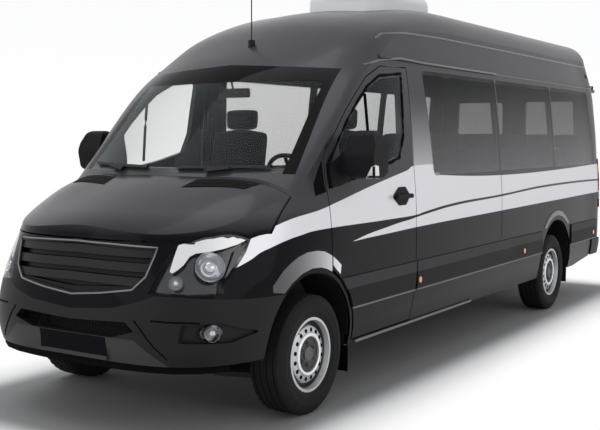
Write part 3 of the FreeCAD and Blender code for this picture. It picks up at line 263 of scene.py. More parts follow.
paintLooks = {  # bands as (distance behind the front axle, height), heights and shares
    "top": ((-0.72, 1.04), (-0.50, 1.085), (-0.335, 1.127), (-0.218, 1.159), (-0.118, 1.179), (0.075, 1.205),
            (0.297, 1.248), (0.678, 1.321), (1.04, 1.381), (1.247, 1.415), (1.34, 1.44), (1.72, 1.44),
            (1.78, 1.364), (5.95, 1.364)),
    "low": ((-0.72, 0.89), (-0.489, 0.973), (-0.452, 0.992), (-0.408, 1.008), (-0.364, 1.019), (-0.246, 1.049),
            (-0.112, 1.072), (0.083, 1.091), (0.869, 1.094), (1.345, 1.098), (1.45, 1.109), (2.087, 1.149),
            (2.873, 1.163), (4.125, 1.20), (5.95, 1.196)),
    "lineLow": ((-0.72, 0.90), (0.451, 0.994), (0.559, 1.010), (0.665, 1.024), (0.868, 1.043), (1.088, 1.063),
                (1.24, 1.073), (1.345, 1.083), (1.45, 1.092), (2.087, 1.131), (2.873, 1.147), (4.125, 1.182),
                (5.95, 1.178)),
    "foot": ((-0.72, 0.93), (0.451, 0.990), (0.664, 0.997), (0.867, 1.001), (1.087, 1.006), (1.344, 1.012),
             (2.956, 1.029), (5.95, 1.06)),
    "curveMargin": 0.01,
    "dark": (0.0034, 0.0032, 0.0050),
    # the upper colour is painted light: the hood, roof and upper sides are painted paler, as lit from above
    "upper": (0.062, 0.061, 0.067),
    "silver": (0.82, 0.81, 0.85),
    # the faces inside the cabin are painted near-black, as painted shade
    "cabinShade": (0.006, 0.006, 0.007),
    "fleck": 1.4, "metallic": 0.25, "gleam": 0.03, "coat": 0.09, "coatRoughness": 0.05,
    "litFrom": 1.10, "litOver": 0.12,  # the height where the paint turns to the upper colour
    "sideFrom": 0.80, "footFrom": 0.451,  # where the bands may show
    "fadeTop": 1.95, "fadeOver": 0.55, "fadePower": 1.6, "fadeShare": 0.6,  # the silver on the door pillar
    "fadeLow": 1.40, "fadeSpan": (1.33, 1.80),
    "cabinAxis": 1.2, "cabinLength": 0.45, "inwardEdge": -0.12,  # which faces count as inward
}


def bandEdge(tree, y, points):
    # The height of a band's edge over y, as a curve through its points
    first, last = points[0][0], points[-1][0]
    lowest = min(z for _, z in points) - paintLooks["curveMargin"]
    highest = max(z for _, z in points) + paintLooks["curveMargin"]
    along = climb(tree, y, first + axle, last - first)
    node = addNode(tree, "ShaderNodeFloatCurve")
    curve = node.mapping.curves[0]
    spots = [((at - first) / (last - first), (z - lowest) / (highest - lowest)) for at, z in points]
    curve.points[0].location = spots[0]
    curve.points[1].location = spots[-1]
    for spot in spots[1:-1]:
        curve.points.new(*spot)
    node.mapping.update()
    tree.links.new(along, node.inputs["Value"])
    return mathNode(tree, "ADD", mathNode(tree, "MULTIPLY", node.outputs[0], highest - lowest), lowest)


def makeInward():
    # 1 on the faces that look into the cabin, which are painted near-black as the cabin's shade instead of paint
    tree, inside, outside = newGroup("inwardFaces", ("Height",), ("Mask",))
    x, y, z = splitPlace(tree)
    fromAxis = addNode(tree, "ShaderNodeCombineXYZ")
    tree.links.new(x, fromAxis.inputs[0])
    tree.links.new(mathNode(tree, "MULTIPLY", y, paintLooks["cabinLength"]), fromAxis.inputs[1])
    tree.links.new(mathNode(tree, "SUBTRACT", z, inside.outputs["Height"]), fromAxis.inputs[2])
    dot = addNode(tree, "ShaderNodeVectorMath", operation="DOT_PRODUCT")
    tree.links.new(addNode(tree, "ShaderNodeTexCoord").outputs["Normal"], dot.inputs[0])
    tree.links.new(fromAxis.outputs[0], dot.inputs[1])
    mask = mathNode(tree, "LESS_THAN", dot.outputs["Value"], paintLooks["inwardEdge"])
    tree.links.new(mask, outside.inputs["Mask"])
    return tree


inward = makeInward()


def silverShare(tree):
    # The two bands, and the pillar behind the front door, where the silver fades out upwards
    x, y, z = splitPlace(tree)
    edges = {key: bandEdge(tree, y, paintLooks[key]) for key in ("low", "top", "foot", "lineLow")}
    upper = between(tree, z, edges["low"], edges["top"])
    lower = between(tree, z, edges["foot"], edges["lineLow"])
    lower = mathNode(tree, "MULTIPLY", lower, mathNode(tree, "GREATER_THAN", y, axle + paintLooks["footFrom"]))
    start, end = paintLooks["fadeSpan"]
    fade = climb(tree, paintLooks["fadeTop"], z, paintLooks["fadeOver"])
    fade = mathNode(tree, "POWER", fade, paintLooks["fadePower"])
    fade = mathNode(tree, "MULTIPLY", fade, between(tree, y, axle + start, axle + end))
    fade = mathNode(tree, "MULTIPLY", fade, mathNode(tree, "GREATER_THAN", z, paintLooks["fadeLow"]))
    fade = mathNode(tree, "MULTIPLY", fade, paintLooks["fadeShare"])
    share = mathNode(tree, "ADD", mathNode(tree, "ADD", upper, lower), fade, clamp=True)
    side = mathNode(tree, "GREATER_THAN", mathNode(tree, "ABSOLUTE", x), paintLooks["sideFrom"])
    return mathNode(tree, "MULTIPLY", share, side)


def makePaint(name, banded):
    mat, tree, shader = newMaterial(name)
    dark = paintLooks["dark"]
    colour = vary(tree, shader, dark, tuple(c * paintLooks["fleck"] for c in dark), 900, 0.6, 0.0, 0.22, 0.05)
    setLooks(shader, Metallic=paintLooks["metallic"], Specular_IOR_Level=paintLooks["gleam"],
             Coat_Weight=paintLooks["coat"], Coat_Roughness=paintLooks["coatRoughness"])
    # Painted light: above a height the paint turns to the paler upper colour, as lit from above
    over = climb(tree, splitPlace(tree)[2], paintLooks["litFrom"], paintLooks["litOver"])
    colour = mixColour(tree, over, colour, paintLooks["upper"])
    if banded:
        colour = mixColour(tree, silverShare(tree), colour, paintLooks["silver"])
    # Painted shade: the faces that look into the cabin turn near-black
    cabinShade = addNode(tree, "ShaderNodeGroup", node_tree=inward)
    cabinShade.inputs["Height"].default_value = paintLooks["cabinAxis"]
    colour = mixColour(tree, cabinShade.outputs["Mask"], colour, paintLooks["cabinShade"])
    tree.links.new(colour, shader.inputs["Base Color"])
    return mat


# Glass: thin panes, see-through by alpha

glassLooks = {"grazing": 4.0, "gleam": 0.5, "inkVeil": 0.98, "inkGleam": 0.04}
# Painted light on the side glass: paler and less clear towards its foot
sideGlassPaintedLight = {"low": 1.40, "high": 2.05, "foot": (0.25, 0.25, 0.255), "footVeil": 0.24, "gleam": 0.10}
screenBorder = {"low": 1.42, "lean": 0.09, "half": 0.775, "top": 1.995, "ink": (0.003, 0.003, 0.003)}


def makeGlass(name, tint, veil, graded=None, border=None):
    # A graded pane is painted a paler colour and veil at its foot, as painted light on the glass, and a bordered one
    # is printed black at its edges
    mat, tree, shader = newMaterial(name)
    colour = vary(tree, shader, tint, tuple(c * 0.8 for c in tint), 6, 0.4, 0.0, 0.015, 0.01)
    solid = veil
    if graded or border:
        x, _, z = splitPlace(tree)
    # Painted light: the pane turns paler towards its foot
    if graded:
        down = climb(tree, graded["high"], z, graded["high"] - graded["low"])
        colour = mixColour(tree, down, colour, graded["foot"])
        solid = mathNode(tree, "ADD", mathNode(tree, "MULTIPLY", down, graded["footVeil"] - veil), veil)
        setLooks(shader, Specular_IOR_Level=graded["gleam"])
    facing = addNode(tree, "ShaderNodeLayerWeight")
    grazing = mathNode(tree, "POWER", facing.outputs["Facing"], glassLooks["grazing"])
    seen = mathNode(tree, "ADD", grazing, solid, clamp=True)
    if border:
        slant = mathNode(tree, "MULTIPLY", mathNode(tree, "SUBTRACT", z, border["low"]), border["lean"])
        edge = mathNode(tree, "ADD", slant, mathNode(tree, "ABSOLUTE", x))
        beside = mathNode(tree, "GREATER_THAN", edge, border["half"])
        inked = mathNode(tree, "MAXIMUM", beside, mathNode(tree, "GREATER_THAN", z, border["top"]))
        colour = mixColour(tree, inked, colour, border["ink"])
        seen = mathNode(tree, "MAXIMUM", seen, mathNode(tree, "MULTIPLY", inked, glassLooks["inkVeil"]))
        dulled = mathNode(tree, "MULTIPLY", inked, glassLooks["gleam"] - glassLooks["inkGleam"])
        tree.links.new(mathNode(tree, "SUBTRACT", glassLooks["gleam"], dulled), shader.inputs["Specular IOR Level"])
    tree.links.new(colour, shader.inputs["Base Color"])
    tree.links.new(seen, shader.inputs["Alpha"])
    return mat


bandedPaint = makePaint("bandedPaint", True)
darkPaint = makePaint("darkPaint", False)
clearGlass = makeGlass("clearGlass", (0.10, 0.13, 0.13), 0.025)
screenGlass = makeGlass("screenGlass", (0.10, 0.13, 0.13), 0.045, border=screenBorder)
tintedGlass = makeGlass("tintedGlass", (0.006, 0.007, 0.007), 0.20, sideGlassPaintedLight)
rearGlass = makeGlass("rearGlass", (0.03, 0.033, 0.033), 0.50)
blackPlastic = finish("blackPlastic", (0.004, 0.004, 0.0045), (0.011, 0.011, 0.012), 420, 0.8, 0.15, 0.42, 0.2, 0.1,
                      Specular_IOR_Level=0.18)
valance = finish("valance", (0.002, 0.002, 0.002), (0.004, 0.004, 0.004), 300, 0.8, 0.1, 0.7, 0.2,
                 Specular_IOR_Level=0.05)
palePlastic = finish("palePlastic", (0.78, 0.80, 0.82), (0.88, 0.89, 0.90), 90, 0.6, 0.05, 0.35, 0.1)
# The roof ribs and the rear flare get this paler paint as painted highlights
ribHighlight = finish("ribHighlight", (0.090, 0.090, 0.098), (0.120, 0.120, 0.128), 400, 0.6, 0.0, 0.25, 0.1,
                  Metallic=0.3, Coat_Weight=0.2)
frameTrim = finish("frameTrim", (0.16, 0.16, 0.17), (0.24, 0.24, 0.25), 300, 0.6, 0.03, 0.30, 0.1, Metallic=0.6)
plateBlack = finish("plateBlack", (0.004, 0.004, 0.006), (0.008, 0.008, 0.011), 200, 0.6, 0.1, 0.55, 0.1,
                    Specular_IOR_Level=0.03)


rimBands = {  # radius from, radius to, colour
    "disc": (0.0, 0.106, (0.040, 0.040, 0.041)),
    "ring": (0.106, 0.128, (0.92, 0.92, 0.93)),
    "barrel": (0.170, 0.200, (0.07, 0.07, 0.074)),
}


def makeRimSteel():
    # Bright steel, told apart by the distance from the wheel's axis
    mat, tree, shader = newMaterial("rimSteel")
    colour = vary(tree, shader, (0.50, 0.51, 0.52), (0.62, 0.63, 0.64), 160, 0.7, 0.05, 0.30, 0.12)
    _, y, z = splitPlace(tree)
    height = mathNode(tree, "SUBTRACT", z, wheelRadius)
    front, rear = (mathNode(tree, "ABSOLUTE", mathNode(tree, "SUBTRACT", y, at)) for at in (axle, axle + wheelbase))
    reach = lengthOf(tree, mathNode(tree, "MINIMUM", front, rear), height)
    for near, far, bandColour in rimBands.values():
        colour = mixColour(tree, between(tree, reach, near, far, 0.002), colour, bandColour)
    tree.links.new(colour, shader.inputs["Base Color"])
    setLooks(shader, Metallic=0.6)
    return mat


rimSteel = makeRimSteel()
hubSteel = finish("hubSteel", (0.10, 0.10, 0.10), (0.17, 0.17, 0.17), 240, 0.8, 0.2, 0.45, 0.2, 0.2, Metallic=0.6)
rubber = finish("tyreRubber", (0.006, 0.006, 0.006), (0.012, 0.012, 0.011), 220, 0.9, 0.3, 0.70, 0.2, 0.05,
                Specular_IOR_Level=0.2)
underCoat = finish("underCoat", (0.012, 0.012, 0.012), (0.030, 0.029, 0.028), 70, 0.9, 0.5, 0.75, 0.2, 0.3)
castIron = finish("castIron", (0.05, 0.05, 0.05), (0.10, 0.095, 0.09), 180, 0.9, 0.5, 0.6, 0.2, 0.4, Metallic=0.6)
pipeSteel = finish("pipeSteel", (0.22, 0.21, 0.20), (0.34, 0.32, 0.30), 60, 0.9, 0.2, 0.4, 0.2, 0.3, Metallic=0.9)
dashPlastic = finish("dashPlastic", (0.010, 0.010, 0.011), (0.018, 0.018, 0.019), 600, 0.8, 0.35, 0.6, 0.15,
                     Specular_IOR_Level=0.2)
seatCloth = finish("seatCloth", (0.010, 0.010, 0.012), (0.024, 0.024, 0.027), 700, 0.9, 0.6, 0.85, 0.1,
                   Sheen_Weight=0.1, Specular_IOR_Level=0.2)
amberLens = finish("amberLens", (0.80, 0.20, 0.01), (0.95, 0.38, 0.03), 120, 0.6, 0.1, 0.12, 0.1, Coat_Weight=1.0)
whiteLens = finish("whiteLens", (0.80, 0.80, 0.80), (0.92, 0.92, 0.92), 90, 0.6, 0.1, 0.12, 0.1, Coat_Weight=1.0)
blackGloss = finish("blackGloss", (0.006, 0.006, 0.007), (0.012, 0.012, 0.013), 80, 0.6, 0.0, 0.12, 0.08,
                    Coat_Weight=0.6)


# Painted highlights on the rubbing strip and on the skirt below it
stripHighlights = {  # height from, height to, softness, colour
    "bevel": (0.700, 0.778, 0.003, (0.045, 0.045, 0.048)),
    "lipHighlight": (0.562, 0.582, 0.002, (0.20, 0.20, 0.21)),
    "skirtHighlight": (0.330, 0.358, 0.002, (0.24, 0.24, 0.25)),
}


def makeStripTrim():
    # Rubbing strip, black, with painted highlights: grey along its top bevel, and lighter lips along its foot and the
    # skirt's
    mat, tree, shader = newMaterial("stripTrim")
    colour = vary(tree, shader, (0.008, 0.008, 0.009), (0.020, 0.020, 0.022), 420, 0.8, 0.1, 0.40, 0.2)
    z = splitPlace(tree)[2]
    for low, high, soft, bandColour in stripHighlights.values():
        colour = mixColour(tree, between(tree, z, low, high, soft), colour, bandColour)
    setLooks(shader, Specular_IOR_Level=0.06)
    tree.links.new(colour, shader.inputs["Base Color"])
    return mat


# Painted light on the bumper's low middle part, as lit from below
bumperLitMiddle = {"slope": 1.3, "half": 1.17, "heights": (0.405, 0.560), "soft": 0.012, "share": 0.8,
                "colour": (0.050, 0.050, 0.051)}


def makeLitBumperPlastic():
    # Grained plastic, with painted light: the low middle part beside the plate is paler, as lit from below
    mat, tree, shader = newMaterial("litBumperPlastic")
    colour = vary(tree, shader, (0.010, 0.010, 0.011), (0.015, 0.015, 0.016), 500, 0.8, 0.10, 0.38, 0.15)
    x, _, z = splitPlace(tree)
    slanted = mathNode(tree, "MULTIPLY", z, bumperLitMiddle["slope"])
    reach = mathNode(tree, "ADD", mathNode(tree, "ABSOLUTE", x), slanted)
    middle = mathNode(tree, "LESS_THAN", reach, bumperLitMiddle["half"])
    low, high = bumperLitMiddle["heights"]
    litShare = mathNode(tree, "MULTIPLY", middle, between(tree, z, low, high, bumperLitMiddle["soft"]))
    litShare = mathNode(tree, "MULTIPLY", litShare, bumperLitMiddle["share"])
    tree.links.new(mixColour(tree, litShare, colour, bumperLitMiddle["colour"]), shader.inputs["Base Color"])
    setLooks(shader, Specular_IOR_Level=0.15)
    return mat


tailChambers = {  # height from, height to, colour
    "clear": (0.98, 1.08, (0.72, 0.72, 0.72)),
    "amber": (1.26, 1.345, (0.85, 0.28, 0.02)),
}
tailLines = {"heights": (0.98, 1.08, 1.26), "half": 0.004, "colour": (0.02, 0.02, 0.02)}


def makeTailLens():
    # Red lens with a clear and an amber chamber, ribbed across
    mat, tree, shader = newMaterial("tailLens")
    colour = vary(tree, shader, (0.38, 0.008, 0.008), (0.55, 0.02, 0.02), 140, 0.6, 0.0, 0.10, 0.06)
    z = splitPlace(tree)[2]
    for low, high, chamber in tailChambers.values():
        colour = mixColour(tree, between(tree, z, low, high, 0.002), colour, chamber)
    for height in tailLines["heights"]:
        line = between(tree, z, height - tailLines["half"], height + tailLines["half"], 0.001)
        colour = mixColour(tree, line, colour, tailLines["colour"])
    tree.links.new(colour, shader.inputs["Base Color"])
    wave = addNode(tree, "ShaderNodeTexWave", bands_direction="Z")
    wave.inputs["Scale"].default_value = 34
    tree.links.new(objectPlace(tree), wave.inputs["Vector"])
    addBump(tree, shader, wave.outputs["Fac"], 0.35, 0.002)
    setLooks(shader, Coat_Weight=1.0)
    return mat


louvreFacts = {"heights": (0.844, 0.920, 0.996), "height": 0.046, "droop": 0.0143, "grey": (0.016, 0.016, 0.017)}


def makeLouvreFinish():
    # Grey louvres, told apart by their heights, with near-black painted between them as the shade in the grille's
    # gaps
    mat, tree, shader = newMaterial("louvreFinish")
    colour = vary(tree, shader, (0.002, 0.002, 0.002), (0.004, 0.004, 0.004), 260, 0.7, 0.05, 0.35, 0.15)
    setLooks(shader, Specular_IOR_Level=0.15)
    x, _, z = splitPlace(tree)
    level = mathNode(tree, "ADD", z, mathNode(tree, "MULTIPLY", mathNode(tree, "ABSOLUTE", x), louvreFacts["droop"]))
    blades = None
    for low in louvreFacts["heights"]:
        blade = between(tree, level, low - 0.001, low + louvreFacts["height"], 0.002)
        blades = blade if blades is None else mathNode(tree, "MAXIMUM", blades, blade)
    # Painted shade: near-black everywhere but on the louvres
    tree.links.new(mixColour(tree, blades, colour, louvreFacts["grey"]), shader.inputs["Base Color"])
    return mat


louvreGrey = makeLouvreFinish()
stripTrim = makeStripTrim()
tailLens = makeTailLens()
litBumperPlastic = makeLitBumperPlastic()
print("materials made", len(bpy.data.materials))


# Ways of making pieces

def ride(obj, node):
    # Nothing of a piece leaves the solids' own box
    for vert in obj.data.vertices:
        vert.co = [min(max(c, low), high) for c, low, high in zip(vert.co, *cadBox)]
    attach(obj, bodyOf[node])
    return obj


def link(name, mesh, *mats):
    obj = bpy.data.objects.new(name, mesh)
    bpy.context.scene.collection.objects.link(obj)
    mesh.materials.clear()
    for mat in mats:
        mesh.materials.append(mat)
    return obj


def shade(mesh, angle):
    mesh.polygons.foreach_set("use_smooth", [True] * len(mesh.polygons))
    mesh.set_sharp_from_angle(angle=math.radians(angle))


def meshFrom(work, name, angle=None):
    # Ends the work as a plain mesh, smooth where its faces meet below the angle
    mesh = bpy.data.meshes.new(name)
    work.to_mesh(mesh)
    work.free()
    if angle:
        shade(mesh, angle)
    return mesh


def faceOut(work):
    bmesh.ops.recalc_face_normals(work, faces=work.faces[:])


def bridge(work, one, two):
    # Four-cornered faces between two rings of vertices
    size = len(one)
    for k in range(size):
        work.faces.new((one[k], one[(k + 1) % size], two[(k + 1) % size], two[k]))


def ringOf(work, centre, aside, over, radius, count):
    angles = (math.tau * k / count for k in range(count))
    return [work.verts.new(centre + (aside * math.cos(a) + over * math.sin(a)) * radius) for a in angles]


def mirrorInto(work):
    found = bmesh.ops.duplicate(work, geom=work.verts[:] + work.edges[:] + work.faces[:])["geom"]
    for item in found:
        if isinstance(item, bmesh.types.BMVert):
            item.co.x = -item.co.x
    bmesh.ops.reverse_faces(work, faces=[item for item in found if isinstance(item, bmesh.types.BMFace)])


def mirrored(line):
    return [Vector((-p.x, p.y, p.z)) for p in line]


def resample(points, step):
    out = []
    for one, two in zip(points, points[1:]):
        count = max(1, int(math.dist(one, two) / step))
        out += [tuple(a + (b - a) * k / count for a, b in zip(one, two)) for k in range(count)]
    out.append(tuple(points[-1]))
    return out


def loopOf(points, step):
    return resample(list(points) + [points[0]], step)[:-1]


def dress(node, mat):
    obj = nodes[node]
    if not obj.data.materials:
        obj.data.materials.append(mat)
    for slotHere in obj.material_slots:
        slotHere.material = mat


def skinOf(*names):
    # One search tree over the solids that a piece is laid on
    points, faces = [], []
    for name in names:
        mesh = nodes[name].data
        start = len(points)
        points += [v.co.copy() for v in mesh.vertices]
        faces += [[start + i for i in p.vertices] for p in mesh.polygons]
    return BVHTree.FromPolygons(points, faces)


# A spot on the vehicle is found by a ray: by its place in the photograph, or by two lengths seen from one side

rayStart = {"side": 3, "front": -6, "top": 4}
missReach = 5.5  # a ray that misses the skin takes its point nearest to this far along


def photoRay(spot):
    right, up, back = cameraAxes()
    width, height = cameraFacts["width"], cameraFacts["height"]
    focal = width * cameraFacts["lens"] / cameraFacts["sensor"]
    aim = right * (spot[0] - width / 2) + up * (height / 2 - spot[1]) - back * focal
    return Vector(cameraFacts["place"]), aim.normalized()


def sideRay(spot):
    return Vector((rayStart["side"], spot[0] + axle, spot[1])), Vector((-1, 0, 0))


def farRay(spot):
    return Vector((-rayStart["side"], spot[0] + axle, spot[1])), Vector((1, 0, 0))


def frontRay(spot):
    return Vector((spot[0], rayStart["front"], spot[1])), Vector((0, 1, 0))


def topRay(spot):
    return Vector((spot[0], spot[1] + axle, rayStart["top"])), Vector((0, 0, -1))


def hit(skin, ray, spot, lift=0.0):
    start, aim = ray(spot)
    place, normal, _, _ = skin.ray_cast(start, aim)
    if place is None:
        place, normal, _, _ = skin.find_nearest(start + aim * missReach)
    if normal.dot(aim) > 0:
        normal = -normal
    return place + normal * lift


def patch(name, shape, skin, ray, mat, node, mirror=True):
    # A thin plate laid on a skin inside an outline, in cells of the outline's own unit
    cell = shape.get("cell", 0.04)
    spots = [Vector(p) for p in loopOf(shape["outline"], cell)]
    edges = [(i, (i + 1) % len(spots)) for i in range(len(spots))]
    lowX, highX = min(p.x for p in spots), max(p.x for p in spots)
    lowY, highY = min(p.y for p in spots), max(p.y for p in spots)
    inner = [Vector((lowX + (i + 0.5) * cell, lowY + (j + 0.5) * cell))
             for i in range(int((highX - lowX) / cell)) for j in range(int((highY - lowY) / cell))]
    flat, _, faces, _, _, _ = delaunay_2d_cdt(spots + inner, edges, [], 1, 1e-5)
    work = bmesh.new()
    corners = [work.verts.new(hit(skin, ray, (p.x, p.y), shape["lift"])) for p in flat]
    for face in faces:
        work.faces.new([corners[i] for i in face])
    bmesh.ops.delete(work, geom=[v for v in work.verts if not v.link_faces], context="VERTS")
    work.normal_update()
    total = sum((f.normal * f.calc_area() for f in work.faces), Vector())
    if total.dot(ray(shape["outline"][0])[1]) > 0:
        bmesh.ops.reverse_faces(work, faces=work.faces[:])
    work.normal_update()
    normals = {v: v.normal.copy() for v in work.verts}
    bmesh.ops.extrude_face_region(work, geom=work.faces[:])
    for vert, normal in normals.items():
        vert.co -= normal * shape["thick"]
    faceOut(work)
    if mirror:
        mirrorInto(work)
    return ride(link(name, meshFrom(work, name, 35), mat), node)


def tubeMesh(name, lines, radius, sides=8, closed=False):
    # Round tubes along lists of points; open ones have closed ends
    work = bmesh.new()
    for line in lines:
        rings = []
        count = len(line)
        for i, point in enumerate(line):
            before = line[i - 1] if i or closed else line[i]
            after = line[(i + 1) % count] if i < count - 1 or closed else line[i]
            along = (after - before).normalized()
            across = along.cross(Vector((0, 0, 1)))
            if across.length < 0.1:
                across = along.cross(Vector((1, 0, 0)))
            across.normalize()
            rings.append(ringOf(work, point, across, across.cross(along).normalized(), radius, sides))
        for one, two in zip(rings, rings[1:] + rings[:1] if closed else rings[1:]):
            bridge(work, one, two)
        if not closed:
            work.faces.new(rings[0][::-1])
            work.faces.new(rings[-1])
    faceOut(work)
    return meshFrom(work, name, 50)


def lineOn(name, shape, skin, ray, mat, node, mirror=True):
    # A round bead along points on a skin
    closed = shape.get("closed", False)
    spots = (loopOf if closed else resample)(shape["points"], shape.get("step", 0.04))
    line = [hit(skin, ray, spot, shape["lift"]) for spot in spots]
    lines = [line, mirrored(line)] if mirror else [line]
    return ride(link(name, tubeMesh(name, lines, shape["radius"], closed=closed), mat), node)


def lathe(name, profile, centre, axis=Vector((1, 0, 0)), segments=64):
    # Turns (radius, depth) points about an axis through the centre
    work = bmesh.new()
    aside = axis.orthogonal().normalized()
    over = axis.cross(aside)
    rings = []
    for radius, depth in profile:
        at = centre + axis * depth
        onAxis = radius < 1e-6
        rings.append([work.verts.new(at)] if onAxis else ringOf(work, at, aside, over, radius, segments))
    for one, two in zip(rings, rings[1:]):
        for k in range(segments):
            after = (k + 1) % segments
            face = [one[k % len(one)], one[after % len(one)], two[after % len(two)], two[k % len(two)]]
            face = list(dict.fromkeys(face))
            if len(face) > 2:
                work.faces.new(face)
    faceOut(work)
    return meshFrom(work, name, 40)


def joinMeshes(name, meshes):
    work = bmesh.new()
    for mesh in meshes:
        work.from_mesh(mesh)
    return meshFrom(work, name, 40)


# Solids that keep their shape

plainLooks = (
    (bandedPaint, ("side_wall_left", "side_wall_right", "sliding_door", "front_body", "front_door_left",
                   "front_door_right", "rear_door_left", "rear_door_right")),
    (darkPaint, ("hood", "roof_panel")),
    (screenGlass, ("windscreen",)),
    (clearGlass, ("door_glass_left", "door_glass_right")),
    (tintedGlass, ("side_glass",)),
    (rearGlass, ("rear_glass_left", "rear_glass_right")),
    (stripTrim, ("door_trim_left", "door_trim_right", "trim_strips")),
    (blackPlastic, ("rear_bumper", "wheel_liners", "fuel_tank", "steering_wheel", "antenna", "wipers")),
    (louvreGrey, ("grille",)),
    (dashPlastic, ("dashboard",)),
    (litBumperPlastic, ("front_bumper",)),
    (palePlastic, ("roof_unit",)),
    (tailLens, ("tail_lamps",)),
    (amberLens, ("side_markers",)),
    (underCoat, ("floor_pan", "front_suspension", "rear_axle", "radiator")),
    (castIron, ("knuckle_left", "knuckle_right", "powertrain")),
    (pipeSteel, ("exhaust",)),
    (rimSteel, tuple(sorted(n for n in nodes if n.startswith("rim_")))),
)
for mat, names in plainLooks:
    for name in names:
        dress(name, mat)
print("solids dressed")


# Headlamps

lampShape = {
    "headlampWing": {
        "outline": ((169.5, 271.7), (173.6, 258), (178.3, 245), (192.8, 241.1), (206.6, 237.3), (221.2, 236.3),
                    (228, 238.4), (240.3, 234.2), (251.8, 230.8), (256.4, 233.5), (251.8, 237.3), (238, 244.2),
                    (223.5, 248.8), (211.2, 251.5), (195.9, 253.4), (189.8, 256.4), (183.7, 264.8), (178.3, 269.4),
                    (172.2, 273.3)),
        "cell": 3, "lift": -0.004, "thick": 0.006},
    "headlampSide": {
        "outline": ((236, 250), (252, 240), (250, 249), (243, 259), (232, 272), (226, 278), (232, 262)),
        "cell": 3, "lift": -0.020, "thick": 0.004},
    "lensAim": (0.45, -0.85, 0.25), "lensFrom": 0.35,  # the faces that look this way are clear
}
bowlShape = {
    "bowls": {  # place, radius, depth behind the lens
        "bowl": ((210.4, 267.1), 0.086, 0.016),
        "small": ((175.6, 283.6), 0.040, 0.014),
        "fog": ((212.0, 333.5), 0.050, 0.001),
    },
    "rim": ((1, 0.006), (0.96, 0.012), (0.90, 0.006), (0.80, -0.006), (0.55, -0.018), (0.42, -0.012),
            (0.40, 0.004), (0, 0.006)),  # share of the radius, depth
    "dome": ((0.38, 0.004), (0.34, 0.014), (0.22, 0.021), (0, 0.025)),
}
lampLens = makeGlass("lampLens", (0.30, 0.31, 0.32), 0.03)
wingChrome = finish("wingChrome", (0.90, 0.90, 0.90), (0.80, 0.80, 0.81), 30, 0.6, 0.0, 0.25, 0.1, Metallic=0.35)
bowlChrome = finish("bowlChrome", (0.30, 0.31, 0.32), (0.66, 0.67, 0.69), 22, 1.0, 0.0, 0.08, 0.05, Metallic=1.0)
lampGrey = finish("lampGrey", (0.05, 0.05, 0.05), (0.09, 0.09, 0.09), 60, 0.7, 0.0, 0.2, 0.1, Metallic=0.5)


def makeBowls(skin):
    parts = []
    for key, (spot, radius, depth) in bowlShape["bowls"].items():
        centre = hit(skin, photoRay, spot, -depth)
        aim = (hit(skin, photoRay, spot, 1.0) - hit(skin, photoRay, spot)).normalized()
        for part, segments in (("rim", 48), ("dome", 32)):
            profile = [(radius * share, back) for share, back in bowlShape[part]]
            parts.append(lathe(f"{key}{part.title()}", profile, centre, aim, segments))
    for copy in [m.copy() for m in parts]:
        copy.transform(Matrix.Scale(-1, 4, Vector((1, 0, 0))))
        copy.flip_normals()
        parts.append(copy)
    ride(link("headlampBowls", joinMeshes("headlampBowls", parts), bowlChrome), "front_lamps")


def makeHeadlamps():
    mesh = nodes["front_lamps"].data.copy()
    shell = link("headlampShell", mesh, lampLens, blackGloss)
    x, y, z = lampShape["lensAim"]
    for face in mesh.polygons:
        outward = face.normal.dot(Vector((x if face.center.x > 0 else -x, y, z)))
        face.material_index = 0 if outward > lampShape["lensFrom"] else 1
    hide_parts("front_lamps")
    ride(shell, "front_lamps")
    skin = skinOf("front_lamps")
    for name, mat in (("headlampWing", wingChrome), ("headlampSide", lampGrey)):
        patch(name, lampShape[name], skin, photoRay, mat, "front_lamps")
    makeBowls(skin)


makeHeadlamps()
print("headlamps made")


# Grille's frame line and the lower intake's honeycomb

grilleShape = {
    "frame": ((0, 1.060), (0.26, 1.055), (0.520, 1.044), (0.518, 1.000), (0.492, 0.890), (0.424, 0.820),
              (0.22, 0.790), (0, 0.768)),  # its left half
    "line": {"radius": 0.006, "lift": 0.0, "step": 0.03, "closed": True},
    "meshHalf": 0.44, "meshHeights": (0.556, 0.636), "meshBack": 0.07, "faceBelow": 0.03,
    "cellSize": 0.022, "barRadius": 0.0022,
}


